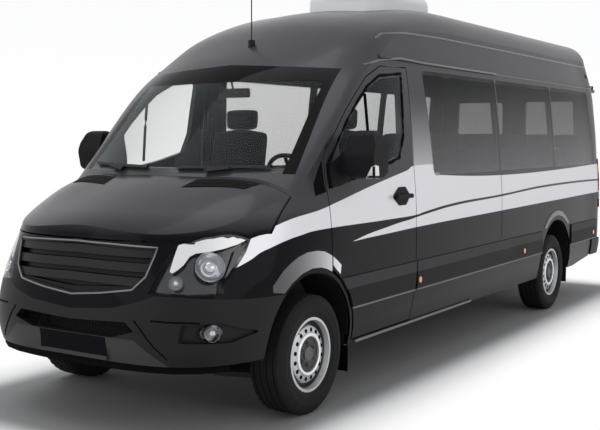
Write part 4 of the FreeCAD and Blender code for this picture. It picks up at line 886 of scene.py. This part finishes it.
def hexMeshTree():
    # Hexagonal rings repeated over a plane, as one netting
    tree = bpy.data.node_groups.new("honeycomb", "GeometryNodeTree")
    sockets = {}
    for label, kind in (("Width", "Float"), ("Height", "Float"), ("Cell", "Float"), ("Bar", "Float"),
                        ("Material", "Material")):
        socket = tree.interface.new_socket(label, in_out="INPUT", socket_type=f"NodeSocket{kind}")
        sockets[label] = socket.identifier
    tree.interface.new_socket("Geometry", in_out="OUTPUT", socket_type="NodeSocketGeometry")
    inside = addNode(tree, "NodeGroupInput")
    outside = addNode(tree, "NodeGroupOutput")
    columns = mathNode(tree, "CEIL", mathNode(tree, "DIVIDE", inside.outputs["Width"], inside.outputs["Cell"]))
    rows = mathNode(tree, "CEIL", mathNode(tree, "DIVIDE", inside.outputs["Height"], inside.outputs["Cell"]))
    grid = addNode(tree, "GeometryNodeMeshGrid")
    tree.links.new(inside.outputs["Width"], grid.inputs["Size X"])
    tree.links.new(inside.outputs["Height"], grid.inputs["Size Y"])
    tree.links.new(columns, grid.inputs["Vertices X"])
    tree.links.new(rows, grid.inputs["Vertices Y"])
    split = addNode(tree, "ShaderNodeSeparateXYZ")
    tree.links.new(addNode(tree, "GeometryNodeInputPosition").outputs[0], split.inputs[0])
    rowAt = mathNode(tree, "ROUND", mathNode(tree, "DIVIDE", split.outputs[1], inside.outputs["Cell"]))
    odd = mathNode(tree, "ABSOLUTE", mathNode(tree, "MODULO", rowAt, 2.0))
    slide = mathNode(tree, "MULTIPLY", mathNode(tree, "MULTIPLY", odd, 0.5), inside.outputs["Cell"])
    offset = addNode(tree, "ShaderNodeCombineXYZ")
    tree.links.new(slide, offset.inputs[0])
    shift = addNode(tree, "GeometryNodeSetPosition")
    tree.links.new(grid.outputs[0], shift.inputs["Geometry"])
    tree.links.new(offset.outputs[0], shift.inputs["Offset"])
    ring = addNode(tree, "GeometryNodeCurvePrimitiveCircle")
    ring.inputs["Resolution"].default_value = 6
    tree.links.new(mathNode(tree, "MULTIPLY", inside.outputs["Cell"], 0.56), ring.inputs["Radius"])
    bar = addNode(tree, "GeometryNodeCurvePrimitiveCircle")
    bar.inputs["Resolution"].default_value = 4
    tree.links.new(inside.outputs["Bar"], bar.inputs["Radius"])
    toMesh = addNode(tree, "GeometryNodeCurveToMesh")
    tree.links.new(ring.outputs[0], toMesh.inputs["Curve"])
    tree.links.new(bar.outputs[0], toMesh.inputs["Profile Curve"])
    place = addNode(tree, "GeometryNodeInstanceOnPoints")
    tree.links.new(shift.outputs[0], place.inputs["Points"])
    tree.links.new(toMesh.outputs[0], place.inputs["Instance"])
    real = addNode(tree, "GeometryNodeRealizeInstances")
    tree.links.new(place.outputs[0], real.inputs[0])
    paintIt = addNode(tree, "GeometryNodeSetMaterial")
    tree.links.new(real.outputs[0], paintIt.inputs["Geometry"])
    tree.links.new(inside.outputs["Material"], paintIt.inputs["Material"])
    tree.links.new(paintIt.outputs[0], outside.inputs[0])
    return tree, sockets


def fromTree(name, tree, sockets, **values):
    # Runs a Geometry Nodes tree once and gives its result as a plain mesh
    holder = bpy.data.objects.new(f"{name}Holder", bpy.data.meshes.new(f"{name}Holder"))
    bpy.context.scene.collection.objects.link(holder)
    modifier = holder.modifiers.new("tree", "NODES")
    modifier.node_group = tree
    for key, value in values.items():
        modifier[sockets[key]] = value
    bpy.context.view_layer.update()
    mesh = bpy.data.meshes.new_from_object(holder.evaluated_get(bpy.context.evaluated_depsgraph_get()))
    bpy.data.objects.remove(holder)
    mesh.name = name
    return mesh


def makeGrille():
    left = list(grilleShape["frame"])
    around = left + [(-x, z) for x, z in left[-2:0:-1]]
    skin = skinOf("grille", "front_body", "front_bumper", "hood")
    lineOn("grilleFrameLine", {"points": around, **grilleShape["line"]}, skin, frontRay, frameTrim, "grille", False)
    low, high = grilleShape["meshHeights"]
    tree, sockets = hexMeshTree()
    mesh = fromTree("intakeMesh", tree, sockets, Width=grilleShape["meshHalf"] * 2, Height=high - low,
                    Cell=grilleShape["cellSize"], Bar=grilleShape["barRadius"], Material=blackPlastic)
    bumper = skinOf("front_bumper")
    for vert in mesh.vertices:
        x, z = vert.co.x, (low + high) / 2 + vert.co.y
        face = hit(bumper, frontRay, (x, low - grilleShape["faceBelow"]), -grilleShape["meshBack"])
        vert.co = Vector((x, face.y + vert.co.z, z))
    shade(mesh, 40)
    ride(link("intakeMesh", mesh, blackPlastic), "front_bumper")


makeGrille()
print("grille made")


# Wheels: treaded tyres, and each rim's cone with its ring, black discs as painted shade in its holes, cap, nuts and
# valve

wheelShape = {
    "halfWidth": 0.1175, "segments": 168, "groove": 0.008, "crown": 0.004, "treadFrom": 0.33,
    "sidewall": (  # radius and share of the half width, from the bead to the tread
        (0.214, 0.80), (0.222, 0.86), (0.240, 0.90), (0.252, 0.965), (0.256, 0.965), (0.262, 0.965),
        (0.290, 1.0), (0.293, 1.006), (0.296, 1.0), (0.318, 0.965), (0.334, 0.90), (0.345, 0.84), (0.350, 0.80)),
    "tread": (0.78, 0.60, 0.585, 0.545, 0.53, 0.22, 0.205, 0.165, 0.15),
    "grooves": (0.585, 0.545, 0.205, 0.165),
    "inside": ((0.206, -0.60), (0.206, 0.60)),
    "cuts": ((0.62, 0.86, 4, 0.006), (0.24, 0.53, 6, 0.003)),  # share from and to, every so many segments, depth
}
hubShape = {
    "ringShare": 0.80,  # of the half width, to the ring's top
    "coneFoot": ((0.168, 0.004), (0.160, 0.010)),  # radius, depth from the disc
    "coneTop": ((0.132, -0.010), (0.128, -0.004), (0.121, 0), (0.112, 0), (0.107, -0.004), (0.105, -0.016),
                (0.048, -0.014), (0.046, -0.018)),  # radius, depth from the ring's top
    "holes": 16, "holeCircle": 0.1465, "holeLift": 0.0008, "coneLost": 0.020, "coneRun": 0.028,
    "hole": ((0.0125, -0.003), (0.0125, 0.0010), (0.0, 0.0010)),
    "capBack": 0.0145,
    "cap": ((0.046, -0.004), (0.046, 0.006), (0.040, 0.010), (0.030, 0.012), (0.028, 0.010), (0, 0.011)),
    "nuts": 6, "nutCircle": 0.065,
    "nut": ((0.011, 0), (0.011, 0.014), (0.009, 0.017), (0.006, 0.017), (0.006, 0.012), (0, 0.012)),
    "washer": ((0.015, 0.001), (0.015, 0.004), (0.011, 0.005)),
    "valveAngle": 128, "valveCircle": 0.178,
    "valve": ((0.005, -0.02), (0.005, 0.012), (0.0035, 0.014), (0.0035, 0.028), (0, 0.029)),
}


def tyreRing():
    tread = []
    for share in wheelShape["tread"]:
        groove = wheelShape["groove"] if share in wheelShape["grooves"] else 0
        tread.append((wheelRadius - wheelShape["crown"] * share ** 2 - groove, share))
    outer = list(wheelShape["sidewall"]) + tread
    return outer + [(radius, -share) for radius, share in reversed(outer)] + list(wheelShape["inside"])


def makeTyre(node, side, centre):
    count, half = wheelShape["segments"], wheelShape["halfWidth"]
    profile = tyreRing()
    work = bmesh.new()
    rings = []
    for k in range(count):
        angle = math.tau * k / count
        row = []
        for radius, share in profile:
            reach = radius
            for low, high, every, depth in wheelShape["cuts"]:
                if low < abs(share) < high and radius > wheelShape["treadFrom"] and k % every == 0:
                    reach -= depth
            place = Vector((share * half * side, -math.sin(angle) * reach, math.cos(angle) * reach))
            row.append(work.verts.new(centre + place))
        rings.append(row)
    for one, two in zip(rings, rings[1:] + rings[:1]):
        bridge(work, one, two)
    faceOut(work)
    obj = link(f"{node}Tread", meshFrom(work, f"{node}Tread", 30), rubber)
    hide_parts(node)
    ride(obj, node)


def spokes(count):
    # Directions from the axis, evenly spaced
    angles = (math.tau * (k + 0.5) / count for k in range(count))
    return [Vector((0, math.cos(a), math.sin(a))) for a in angles]


def makeHub(node, side, centre, face):
    aim = Vector((side, 0, 0))
    disc = Vector((face, centre.y, centre.z))
    rise = abs(centre.x + side * wheelShape["halfWidth"] * hubShape["ringShare"] - face)
    profile = list(hubShape["coneFoot"]) + [(radius, rise + depth) for radius, depth in hubShape["coneTop"]]
    ride(link(f"{node}Cone", lathe(f"{node}Cone", profile, disc, aim, 96), rimSteel), node)
    slope = Vector((rise - hubShape["coneLost"], hubShape["coneRun"])).normalized()
    # The holes are black discs on the cone, standing in for the shade seen through them
    holes = []
    for out in spokes(hubShape["holes"]):
        spot = disc + out * hubShape["holeCircle"] + aim * (rise / 2 + hubShape["holeLift"])
        holes.append(lathe("hole", hubShape["hole"], spot, (out * slope.x + aim * slope.y).normalized(), 20))
    ride(link(f"{node}HoleShade", joinMeshes(f"{node}HoleShade", holes), valance), node)
    seat = disc + aim * (rise - hubShape["capBack"])
    parts = [lathe(f"{node}Cap", hubShape["cap"], seat, aim, 48)]
    for out in spokes(hubShape["nuts"]):
        spot = seat + out * hubShape["nutCircle"]
        parts.append(lathe("nut", hubShape["nut"], spot, aim, 6))
        parts.append(lathe("washer", hubShape["washer"], spot, aim, 20))
    angle = math.radians(hubShape["valveAngle"])
    spot = disc + Vector((0, math.cos(angle), math.sin(angle))) * hubShape["valveCircle"]
    parts.append(lathe("valve", hubShape["valve"], spot, aim, 12))
    ride(link(f"{node}Hub", joinMeshes(f"{node}Hub", parts), hubSteel), node)


for end in ("front", "rear"):
    for sideName, side in (("left", 1), ("right", -1)):
        low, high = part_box(f"tyre_{end}_{sideName}")
        centre = (Vector(low) + Vector(high)) / 2
        makeTyre(f"tyre_{end}_{sideName}", side, centre)
        disc = skinOf(f"rim_{end}_{sideName}")
        start = centre + Vector((side * 0.5, hubShape["nutCircle"], 0))
        place, _, _, _ = disc.ray_cast(start, Vector((-side, 0, 0)))
        makeHub(f"rim_{end}_{sideName}", side, centre, place.x if place else centre.x)
print("wheels made")


# Seats: sewn cushions, backs and headrests on dark frames

seatShape = {
    "floor": 0.64, "across": (-1, -0.96, -0.86, -0.62, -0.34, 0, 0.34, 0.62, 0.86, 0.96, 1),
    "sideTuck": 0.10, "seamAt": 0.62, "seamTuck": 0.965, "swell": 0.036, "step": 0.06,
    "cushion": ((0.005, 0.02), (0, 0.085), (0.03, 0.108), (0.44, 0.090), (0.44, 0.004)),  # y, z over the base
    "backFoot": ((0.415, 0.03), (0.495, 0.01)),
    "backTop": ((0.605, -0.02), (0.590, 0), (0.545, 0), (0.527, -0.03)),  # y, z over the back's top
    "headrest": ((0.550, 0.006), (0.543, 0.13), (0.56, 0.155), (0.61, 0.158), (0.625, 0.14), (0.614, 0.006)),
    "headrestWidth": 0.25, "roundLevels": 1,
}
frameShape = {"half": 0.055, "front": 0.08, "depth": 0.30, "lift": 0.006, "under": 0.01, "lean": 0.1,
              "post": 0.585, "postFoot": 0.03, "postRise": (0, 0.003, 0.06), "radius": 0.011}
cabRow = {"x": (0.43, -0.43), "y": 0.64, "width": 0.48, "base": 0.35, "top": 1.683}
cabinRows = {"rows": ((0.64, 0.195, -0.64),) * 4 + ((0.64, 0.213, -0.213, -0.64),),
             "first": 2.02, "pitch": 0.78, "width": 0.42, "base": 0.33, "top": 1.513}


def padMesh(name, outline, x, width, sewn=True):
    # A crowned pad: its side outline (y, z) swept over x, pulled in at its sides and at its sewn channels
    centreY = sum(y for y, _ in outline) / len(outline)
    centreZ = sum(z for _, z in outline) / len(outline)
    work = bmesh.new()
    rows = []
    for share in seatShape["across"]:
        factor = 1 - seatShape["sideTuck"] * abs(share) ** 6
        if sewn and abs(share) == seatShape["seamAt"]:
            factor *= seatShape["seamTuck"]
        factor *= 1 + seatShape["swell"] * (1 - share * share)
        rows.append([work.verts.new((x + share * width / 2, axle + centreY + (y - centreY) * factor,
                                     centreZ + (z - centreZ) * factor))
                     for y, z in loopOf(outline, seatShape["step"])])
    for one, two in zip(rows, rows[1:]):
        bridge(work, one, two)
    work.faces.new(rows[0])
    work.faces.new(rows[-1][::-1])
    faceOut(work)
    return meshFrom(work, name, 60)


def seatParts(x, y, width, base, top):
    foot = seatShape["floor"] + base
    cushion = [(y + dy, foot + dz) for dy, dz in seatShape["cushion"]]
    back = [(y + dy, foot + dz) for dy, dz in seatShape["backFoot"]]
    back += [(y + dy, top + dz) for dy, dz in seatShape["backTop"]]
    rest = [(y + dy, top + dz) for dy, dz in seatShape["headrest"]]
    return [padMesh("cushion", cushion, x, width - 0.01), padMesh("back", back, x, width - 0.02),
            padMesh("rest", rest, x, seatShape["headrestWidth"], sewn=False)]


def seatFrame(x, y, base, top):
    # Two legged hoops, nearer the gangway than the seat's middle, and the headrest's posts
    lines = []
    up = Vector((0, 0, base - frameShape["under"]))
    depth = Vector((0, frameShape["depth"], 0))
    for aside in (-frameShape["half"], frameShape["half"]):
        foot = Vector((x - frameShape["lean"] * x + aside, axle + y + frameShape["front"],
                       seatShape["floor"] + frameShape["lift"]))
        lines.append([foot, foot + up, foot + (depth + up), foot + depth])
        post = Vector((x + aside, axle + y + frameShape["post"], top - frameShape["postFoot"]))
        lines.append([post, post + Vector(frameShape["postRise"])])
    return lines


def makeSeats(node, places):
    pads, frames = [], []
    for x, y, width, base, top in places:
        pads += seatParts(x, y, width, base, top)
        frames += seatFrame(x, y, base, top)
    cover = link(f"{node}Pads", joinMeshes(f"{node}Pads", pads), seatCloth)
    shade(cover.data, 60)
    smooth = cover.modifiers.new("round", "SUBSURF")
    smooth.levels = smooth.render_levels = seatShape["roundLevels"]
    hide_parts(node)
    ride(cover, node)
    frameMesh = tubeMesh(f"{node}Frames", frames, frameShape["radius"])
    ride(link(f"{node}Frames", frameMesh, castIron), node)


makeSeats("cab_seats", [(x, *(cabRow[key] for key in ("y", "width", "base", "top"))) for x in cabRow["x"]])
makeSeats("cabin_seats", [(x, cabinRows["first"] + i * cabinRows["pitch"],
                           *(cabinRows[key] for key in ("width", "base", "top")))
                          for i, row in enumerate(cabinRows["rows"]) for x in row])
print("seats made")


# Trim that lies on the skin

trimShape = {  # plates have an outline, beads have points, and both a lift over the skin
    "hoodVent": {"outline": ((0.308, -0.400), (0.329, -0.268), (0.726, -0.160), (0.682, -0.290)),
                 "lift": 0.0015, "thick": 0.006},
    "mirrorTurnLens": {"outline": ((364.8, 180.0), (371.7, 166.6), (375.2, 164.9), (378.6, 166.2), (379.4, 178.3),
                                   (371.7, 180)),
                       "cell": 3, "lift": 0.0012, "thick": 0.004},
    "pillarCorner": {"outline": ((0.075, 1.36), (0.245, 1.60), (0.190, 1.37), (0.185, 1.31), (0.075, 1.29)),
                     "lift": 0.002, "thick": 0.006},
    "frontFlare": {"outline": ((-0.39, 0.811), (-0.297, 0.886), (-0.225, 0.924), (-0.156, 0.952), (-0.07, 0.971),
                               (0.031, 0.972), (0.105, 0.960), (0.184, 0.928), (0.184, 0.833), (0.130, 0.853),
                               (0.065, 0.870), (-0.03, 0.874), (-0.132, 0.854), (-0.227, 0.812), (-0.302, 0.761),
                               (-0.393, 0.775)),
                   "cell": 0.03, "lift": 0.005, "thick": 0.008},
    "doorFlare": {"outline": ((0.198, 0.922), (0.240, 0.897), (0.292, 0.861), (0.283, 0.806), (0.240, 0.836),
                              (0.198, 0.870)),
                  "cell": 0.03, "lift": 0.005, "thick": 0.006},
    "rearFlare": {"outline": ((4.039, 0.800), (4.150, 0.875), (4.269, 0.925), (4.405, 0.942), (4.540, 0.925),
                              (4.660, 0.875), (4.771, 0.800), (4.720, 0.790), (4.630, 0.842), (4.530, 0.880),
                              (4.405, 0.896), (4.280, 0.880), (4.180, 0.842), (4.090, 0.790)),
                  "cell": 0.03, "lift": 0.004, "thick": 0.008},
    "frontPlate": {"outline": ((-0.243, 0.447), (-0.243, 0.552), (0.262, 0.552), (0.262, 0.447)),
                   "lift": 0.001, "thick": 0.006},
    "panelSeam": {"points": ((2.968, 1.34), (2.968, 0.79)), "radius": 0.003, "lift": -0.001},
    "upperRib": {"points": ((1.045, 2.299), (1.142, 2.340), (1.429, 2.369), (2.0, 2.383), (3.5, 2.385),
                            (5.70, 2.380)),
                 "radius": 0.008, "lift": -0.002},
    "lowerRib": {"points": ((0.770, 2.106), (0.959, 2.149), (1.266, 2.178), (1.60, 2.168), (3.0, 2.165),
                            (5.75, 2.160)),
                 "radius": 0.008, "lift": -0.002},
    # skirtCrease is a near-black bead along the bumper's skirt, a painted shadow in its crease
    "skirtCrease": {"points": ((133.5, 320.7), (140.0, 329.5), (147.0, 339.5), (154.4, 348.5), (162.0, 355.5),
                               (167.0, 360.5)),
                    "radius": 0.005, "lift": -0.001, "step": 4},
    "bumperSlit": {"points": ((150.0, 321.2), (168.0, 322.6), (184.0, 323.2), (200.0, 323.6)),
                   "radius": 0.006, "lift": -0.002, "step": 4},
    "doorRubber": {"points": ((0.224, 1.335), (0.224, 1.463), (0.470, 1.742), (0.600, 1.857), (0.740, 1.962),
                              (0.920, 2.042), (1.240, 2.072), (1.200, 1.653), (1.125, 1.498), (0.870, 1.441)),
                   "radius": 0.012, "lift": -0.003, "step": 0.03, "closed": True},
    "quarterBar": {"points": ((0.700, 1.455), (0.700, 1.915)), "radius": 0.010, "lift": 0.004, "step": 0.05},
}
ventSlats = {"count": 6, "radius": 0.003, "lift": 0.002, "step": 0.05}
apronShape = {
    "across": (-0.86, -0.76, -0.64, -0.50, -0.36, -0.18, 0.0, 0.18, 0.36, 0.50, 0.64, 0.76, 0.86),
    "heights": (0.375, 0.440), "inset": 0.018, "sideInset": 0.02, "thick": 0.006, "faceAt": 0.470,
}
flapShape = {"low": (0.735, 0.4205, 0.172), "high": (0.963, 0.4250, 0.335), "edge": 0.0015}
# Painted highlight on the wheel-arch flares, brighter towards their rear end
flareHighlightLooks = {"from": -0.45, "over": 0.70, "power": 2.6, "bright": (0.84, 0.84, 0.86)}


def makeFlareHighlight():
    # Painted highlight: the flare's upward lip is painted brighter towards its rear end, as it catches the light
    # there
    mat, tree, shader = newMaterial("flareHighlight")
    colour = vary(tree, shader, (0.060, 0.060, 0.064), (0.075, 0.075, 0.080), 500, 0.6, 0.0, 0.24, 0.1)
    near = climb(tree, splitPlace(tree)[1], axle + flareHighlightLooks["from"], flareHighlightLooks["over"])
    colour = mixColour(tree, mathNode(tree, "POWER", near, flareHighlightLooks["power"]), colour, flareHighlightLooks["bright"])
    tree.links.new(colour, shader.inputs["Base Color"])
    setLooks(shader, Metallic=0.3, Coat_Weight=0.2)
    return mat


def makeApron(bumper):
    # Black apron that follows the bumper's lower edge a little behind its face: the bumper's underside, near-black
    # partly as its own colour and partly as painted shade
    work = bmesh.new()
    low, high = apronShape["heights"]
    thick = apronShape["thick"]
    rows = []
    for x in apronShape["across"]:
        face = hit(bumper, frontRay, (x, apronShape["faceAt"]))
        y = face.y + apronShape["inset"] + apronShape["sideInset"] * abs(x)
        section = ((0, low), (0, high), (thick, high), (thick, low))
        rows.append([work.verts.new((x, y + back, z)) for back, z in section])
    for one, two in zip(rows, rows[1:]):
        bridge(work, one, two)
    work.faces.new(rows[0])
    work.faces.new(rows[-1])
    faceOut(work)
    ride(link("bumperUnderShade", meshFrom(work, "bumperUnderShade"), valance), "front_bumper")


def makeFlapSkirts():
    # Wider rubber sheets on the front mud flaps
    low, high = (Vector(flapShape[key]) + Vector((0, axle, 0)) for key in ("low", "high"))
    work = bmesh.new()
    bmesh.ops.create_cube(work, size=1.0)
    for vert in work.verts:
        vert.co = Vector((high[k] if vert.co[k] > 0 else low[k] for k in range(3)))
    bmesh.ops.bevel(work, geom=work.edges[:], offset=flapShape["edge"], segments=2, affect="EDGES")
    mirrorInto(work)
    ride(link("flapSkirts", meshFrom(work, "flapSkirts"), valance), "wheel_liners")


def makeVentSlats(hoodSkin):
    one, two, three, four = trimShape["hoodVent"]["outline"]
    lines = []
    for i in range(ventSlats["count"]):
        share = (i + 0.5) / ventSlats["count"]
        ends = [tuple(a + (b - a) * share for a, b in zip(*side)) for side in ((one, two), (four, three))]
        lines.append([hit(hoodSkin, topRay, spot, ventSlats["lift"]) for spot in resample(ends, ventSlats["step"])])
    lines += [mirrored(line) for line in lines]
    ride(link("hoodVentSlats", tubeMesh("hoodVentSlats", lines, ventSlats["radius"]), blackPlastic), "hood")


def layTrim(name, skin, ray, mat, node, mirror=True, key=None):
    shape = trimShape[key or name]
    (patch if "outline" in shape else lineOn)(name, shape, skin, ray, mat, node, mirror)


def makeTrim():
    hoodSkin, bumper, body, wall = (skinOf(name) for name in ("hood", "front_bumper", "front_body", "side_wall_left"))
    roofSide = skinOf("roof_panel", "side_wall_left")
    wholeSide = skinOf("side_wall_left", "roof_panel", "front_body", "front_door_left")
    doors = (("Left", "front_door_left", sideRay), ("Right", "front_door_right", farRay))
    flareHighlight = makeFlareHighlight()
    layTrim("hoodVent", hoodSkin, topRay, valance, "hood")
    makeVentSlats(hoodSkin)
    layTrim("mirrorTurnLens", skinOf("door_trim_left"), photoRay, whiteLens, "door_trim_left", False)
    layTrim("pillarCorner", body, sideRay, valance, "front_body")
    layTrim("panelSeam", wall, sideRay, blackPlastic, "side_wall_left", False)
    layTrim("upperRib", roofSide, sideRay, ribHighlight, "roof_panel")
    layTrim("lowerRib", wholeSide, sideRay, ribHighlight, "side_wall_left")
    layTrim("frontFlare", body, sideRay, flareHighlight, "front_body")
    for name, door, ray in doors:
        layTrim(f"doorFlare{name}", skinOf(door), ray, flareHighlight, door, False, "doorFlare")
    layTrim("rearFlare", wall, sideRay, ribHighlight, "side_wall_left")
    layTrim("skirtCrease", bumper, photoRay, valance, "front_bumper")
    layTrim("bumperSlit", bumper, photoRay, valance, "front_bumper")
    layTrim("frontPlate", bumper, frontRay, plateBlack, "front_bumper", False)
    makeApron(bumper)
    makeFlapSkirts()
    for name, door, ray in doors:
        layTrim(f"doorRubber{name}", skinOf(door), ray, valance, door, False, "doorRubber")
        glass = skinOf(f"door_glass_{name.lower()}")
        layTrim(f"quarterBar{name}", glass, ray, valance, door, False, "quarterBar")


makeTrim()
print("trim made")


# Inner mirror, seen through the windscreen

innerMirror = {
    "place": (0.0, 0.56, 1.93),
    "outline": ((-0.12, -0.03), (0.12, -0.03), (0.125, 0.0), (0.12, 0.035), (-0.12, 0.035), (-0.125, 0.0)),
    "depth": 0.03, "backShare": (0.94, 0.9), "edge": 0.006,
    "arm": ((0, -0.03, 0.02), (0, -0.06, 0.10)), "armRadius": 0.007,
}


def makeInnerMirror():
    place = Vector(innerMirror["place"]) + Vector((0, axle, 0))
    arm = tubeMesh("mirrorArm", [[place + Vector(spot) for spot in innerMirror["arm"]]], innerMirror["armRadius"])
    wide, tall = innerMirror["backShare"]
    work = bmesh.new()
    front = [work.verts.new(place + Vector((u, 0.0, v))) for u, v in innerMirror["outline"]]
    back = [work.verts.new(place + Vector((u * wide, -innerMirror["depth"], v * tall)))
            for u, v in innerMirror["outline"]]
    work.faces.new(front)
    work.faces.new(back[::-1])
    bridge(work, front, back)
    faceOut(work)
    bmesh.ops.bevel(work, geom=work.edges[:], offset=innerMirror["edge"], segments=3, affect="EDGES")
    mesh = meshFrom(work, "innerMirror")
    ride(link("innerMirror", joinMeshes("innerMirror", [mesh, arm]), blackPlastic), "front_body")


makeInnerMirror()
print("inner mirror made")


# Floor, lights and world

def areaLight(name, where, target, size, power):
    data = bpy.data.lights.new(name, "AREA")
    data.shape = "RECTANGLE"
    data.size, data.size_y = size
    data.energy = power
    obj = bpy.data.objects.new(name, data)
    bpy.context.scene.collection.objects.link(obj)
    obj.location = where
    obj.rotation_mode = "QUATERNION"
    obj.rotation_quaternion = (Vector(where) - Vector(target)).to_track_quat("Z", "Y")


def shownRays(tree):
    # 1 for what the camera sees, directly, mirrored or through glass
    path = addNode(tree, "ShaderNodeLightPath")
    seen = mathNode(tree, "MAXIMUM", path.outputs["Is Camera Ray"], path.outputs["Is Transmission Ray"])
    return mathNode(tree, "MAXIMUM", seen, path.outputs["Is Glossy Ray"])


def smoothClimb(tree, value, start, end):
    node = addNode(tree, "ShaderNodeMapRange", interpolation_type="SMOOTHSTEP")
    tree.links.new(value, node.inputs["Value"])
    node.inputs["From Min"].default_value = start
    node.inputs["From Max"].default_value = end
    return node.outputs[0]


floorFacts = {"reach": 60, "clear": (1.0, 3.50), "start": 0.02, "fade": 0.60, "under": (0.30, 0.30, 0.30),
              "shadowFade": 0.30}


def makeFloorFinish():
    # Pale floor that keeps the shadow near the vehicle, with a painted shadow darkening it under the vehicle, and
    # turns into the white background beyond it
    mat, tree, shader = newMaterial("floorFinish")
    colour = vary(tree, shader, (0.88, 0.88, 0.88), (0.92, 0.92, 0.92), 4, 0.5, 0.0, 0.7, 0.1)
    x, y, _ = splitPlace(tree)
    overs = []
    for part, half in zip((x, y), floorFacts["clear"]):
        over = mathNode(tree, "SUBTRACT", mathNode(tree, "ABSOLUTE", part), half)
        overs.append(mathNode(tree, "MAXIMUM", over, 0.0))
    away = lengthOf(tree, *overs)
    far = smoothClimb(tree, away, floorFacts["start"], floorFacts["start"] + floorFacts["fade"])
    # Painted shadow: the floor's colour darkens under the vehicle
    under = smoothClimb(tree, away, 0.0, floorFacts["shadowFade"])
    tree.links.new(mixColour(tree, under, floorFacts["under"], colour), shader.inputs["Base Color"])
    glow = addNode(tree, "ShaderNodeEmission")
    glow.inputs["Color"].default_value = (1, 1, 1, 1)
    mixed = addNode(tree, "ShaderNodeMixShader")
    tree.links.new(mathNode(tree, "MULTIPLY", shownRays(tree), far), mixed.inputs[0])
    tree.links.new(shader.outputs[0], mixed.inputs[1])
    tree.links.new(glow.outputs[0], mixed.inputs[2])
    out = next(node for node in tree.nodes if node.bl_idname == "ShaderNodeOutputMaterial")
    tree.links.new(mixed.outputs[0], out.inputs["Surface"])
    return mat


skyFacts = {"level": (1.0, 1.0, 1.0, 1), "top": (0.80, 0.82, 0.86, 1), "light": 0.65, "shown": 0.35}


def makeWorld():
    # Dimmer as a light than as the white that the camera sees
    world = bpy.data.worlds.new("studio")
    bpy.context.scene.world = world
    world.use_nodes = True
    tree = world.node_tree
    background = tree.nodes["Background"]
    split = addNode(tree, "ShaderNodeSeparateXYZ")
    tree.links.new(addNode(tree, "ShaderNodeTexCoord").outputs["Generated"], split.inputs[0])
    ramp = addNode(tree, "ShaderNodeValToRGB")
    tree.links.new(split.outputs[2], ramp.inputs[0])
    for element, key in zip(ramp.color_ramp.elements, ("level", "top")):
        element.color = skyFacts[key]
    tree.links.new(ramp.outputs[0], background.inputs["Color"])
    strength = mathNode(tree, "MULTIPLY", shownRays(tree), skyFacts["shown"])
    tree.links.new(mathNode(tree, "ADD", strength, skyFacts["light"]), background.inputs["Strength"])


studioLights = {  # place, target, size, power
    "overhead": ((-1.5, -3.0, 8.0), (0, -1.5, 1), (5, 6), 170),
    "sideSoft": ((9.5, -1.5, 4.2), (0, 0, 1.2), (9, 4), 110),
    "frontSoft": ((-3.0, -11.0, 3.6), (0, -2.5, 1), (7, 4), 90),
}
wide = floorFacts["reach"]
floorMesh = bpy.data.meshes.new("studioFloor")
floorMesh.from_pydata([(-wide, -wide, 0), (wide, -wide, 0), (wide, wide, 0), (-wide, wide, 0)], [], [(0, 1, 2, 3)])
link("studioFloor", floorMesh, makeFloorFinish())
for name, facts in studioLights.items():
    areaLight(name, *facts)
makeWorld()
print("stage made")
bpy.context.scene.view_settings.view_transform = "Standard"
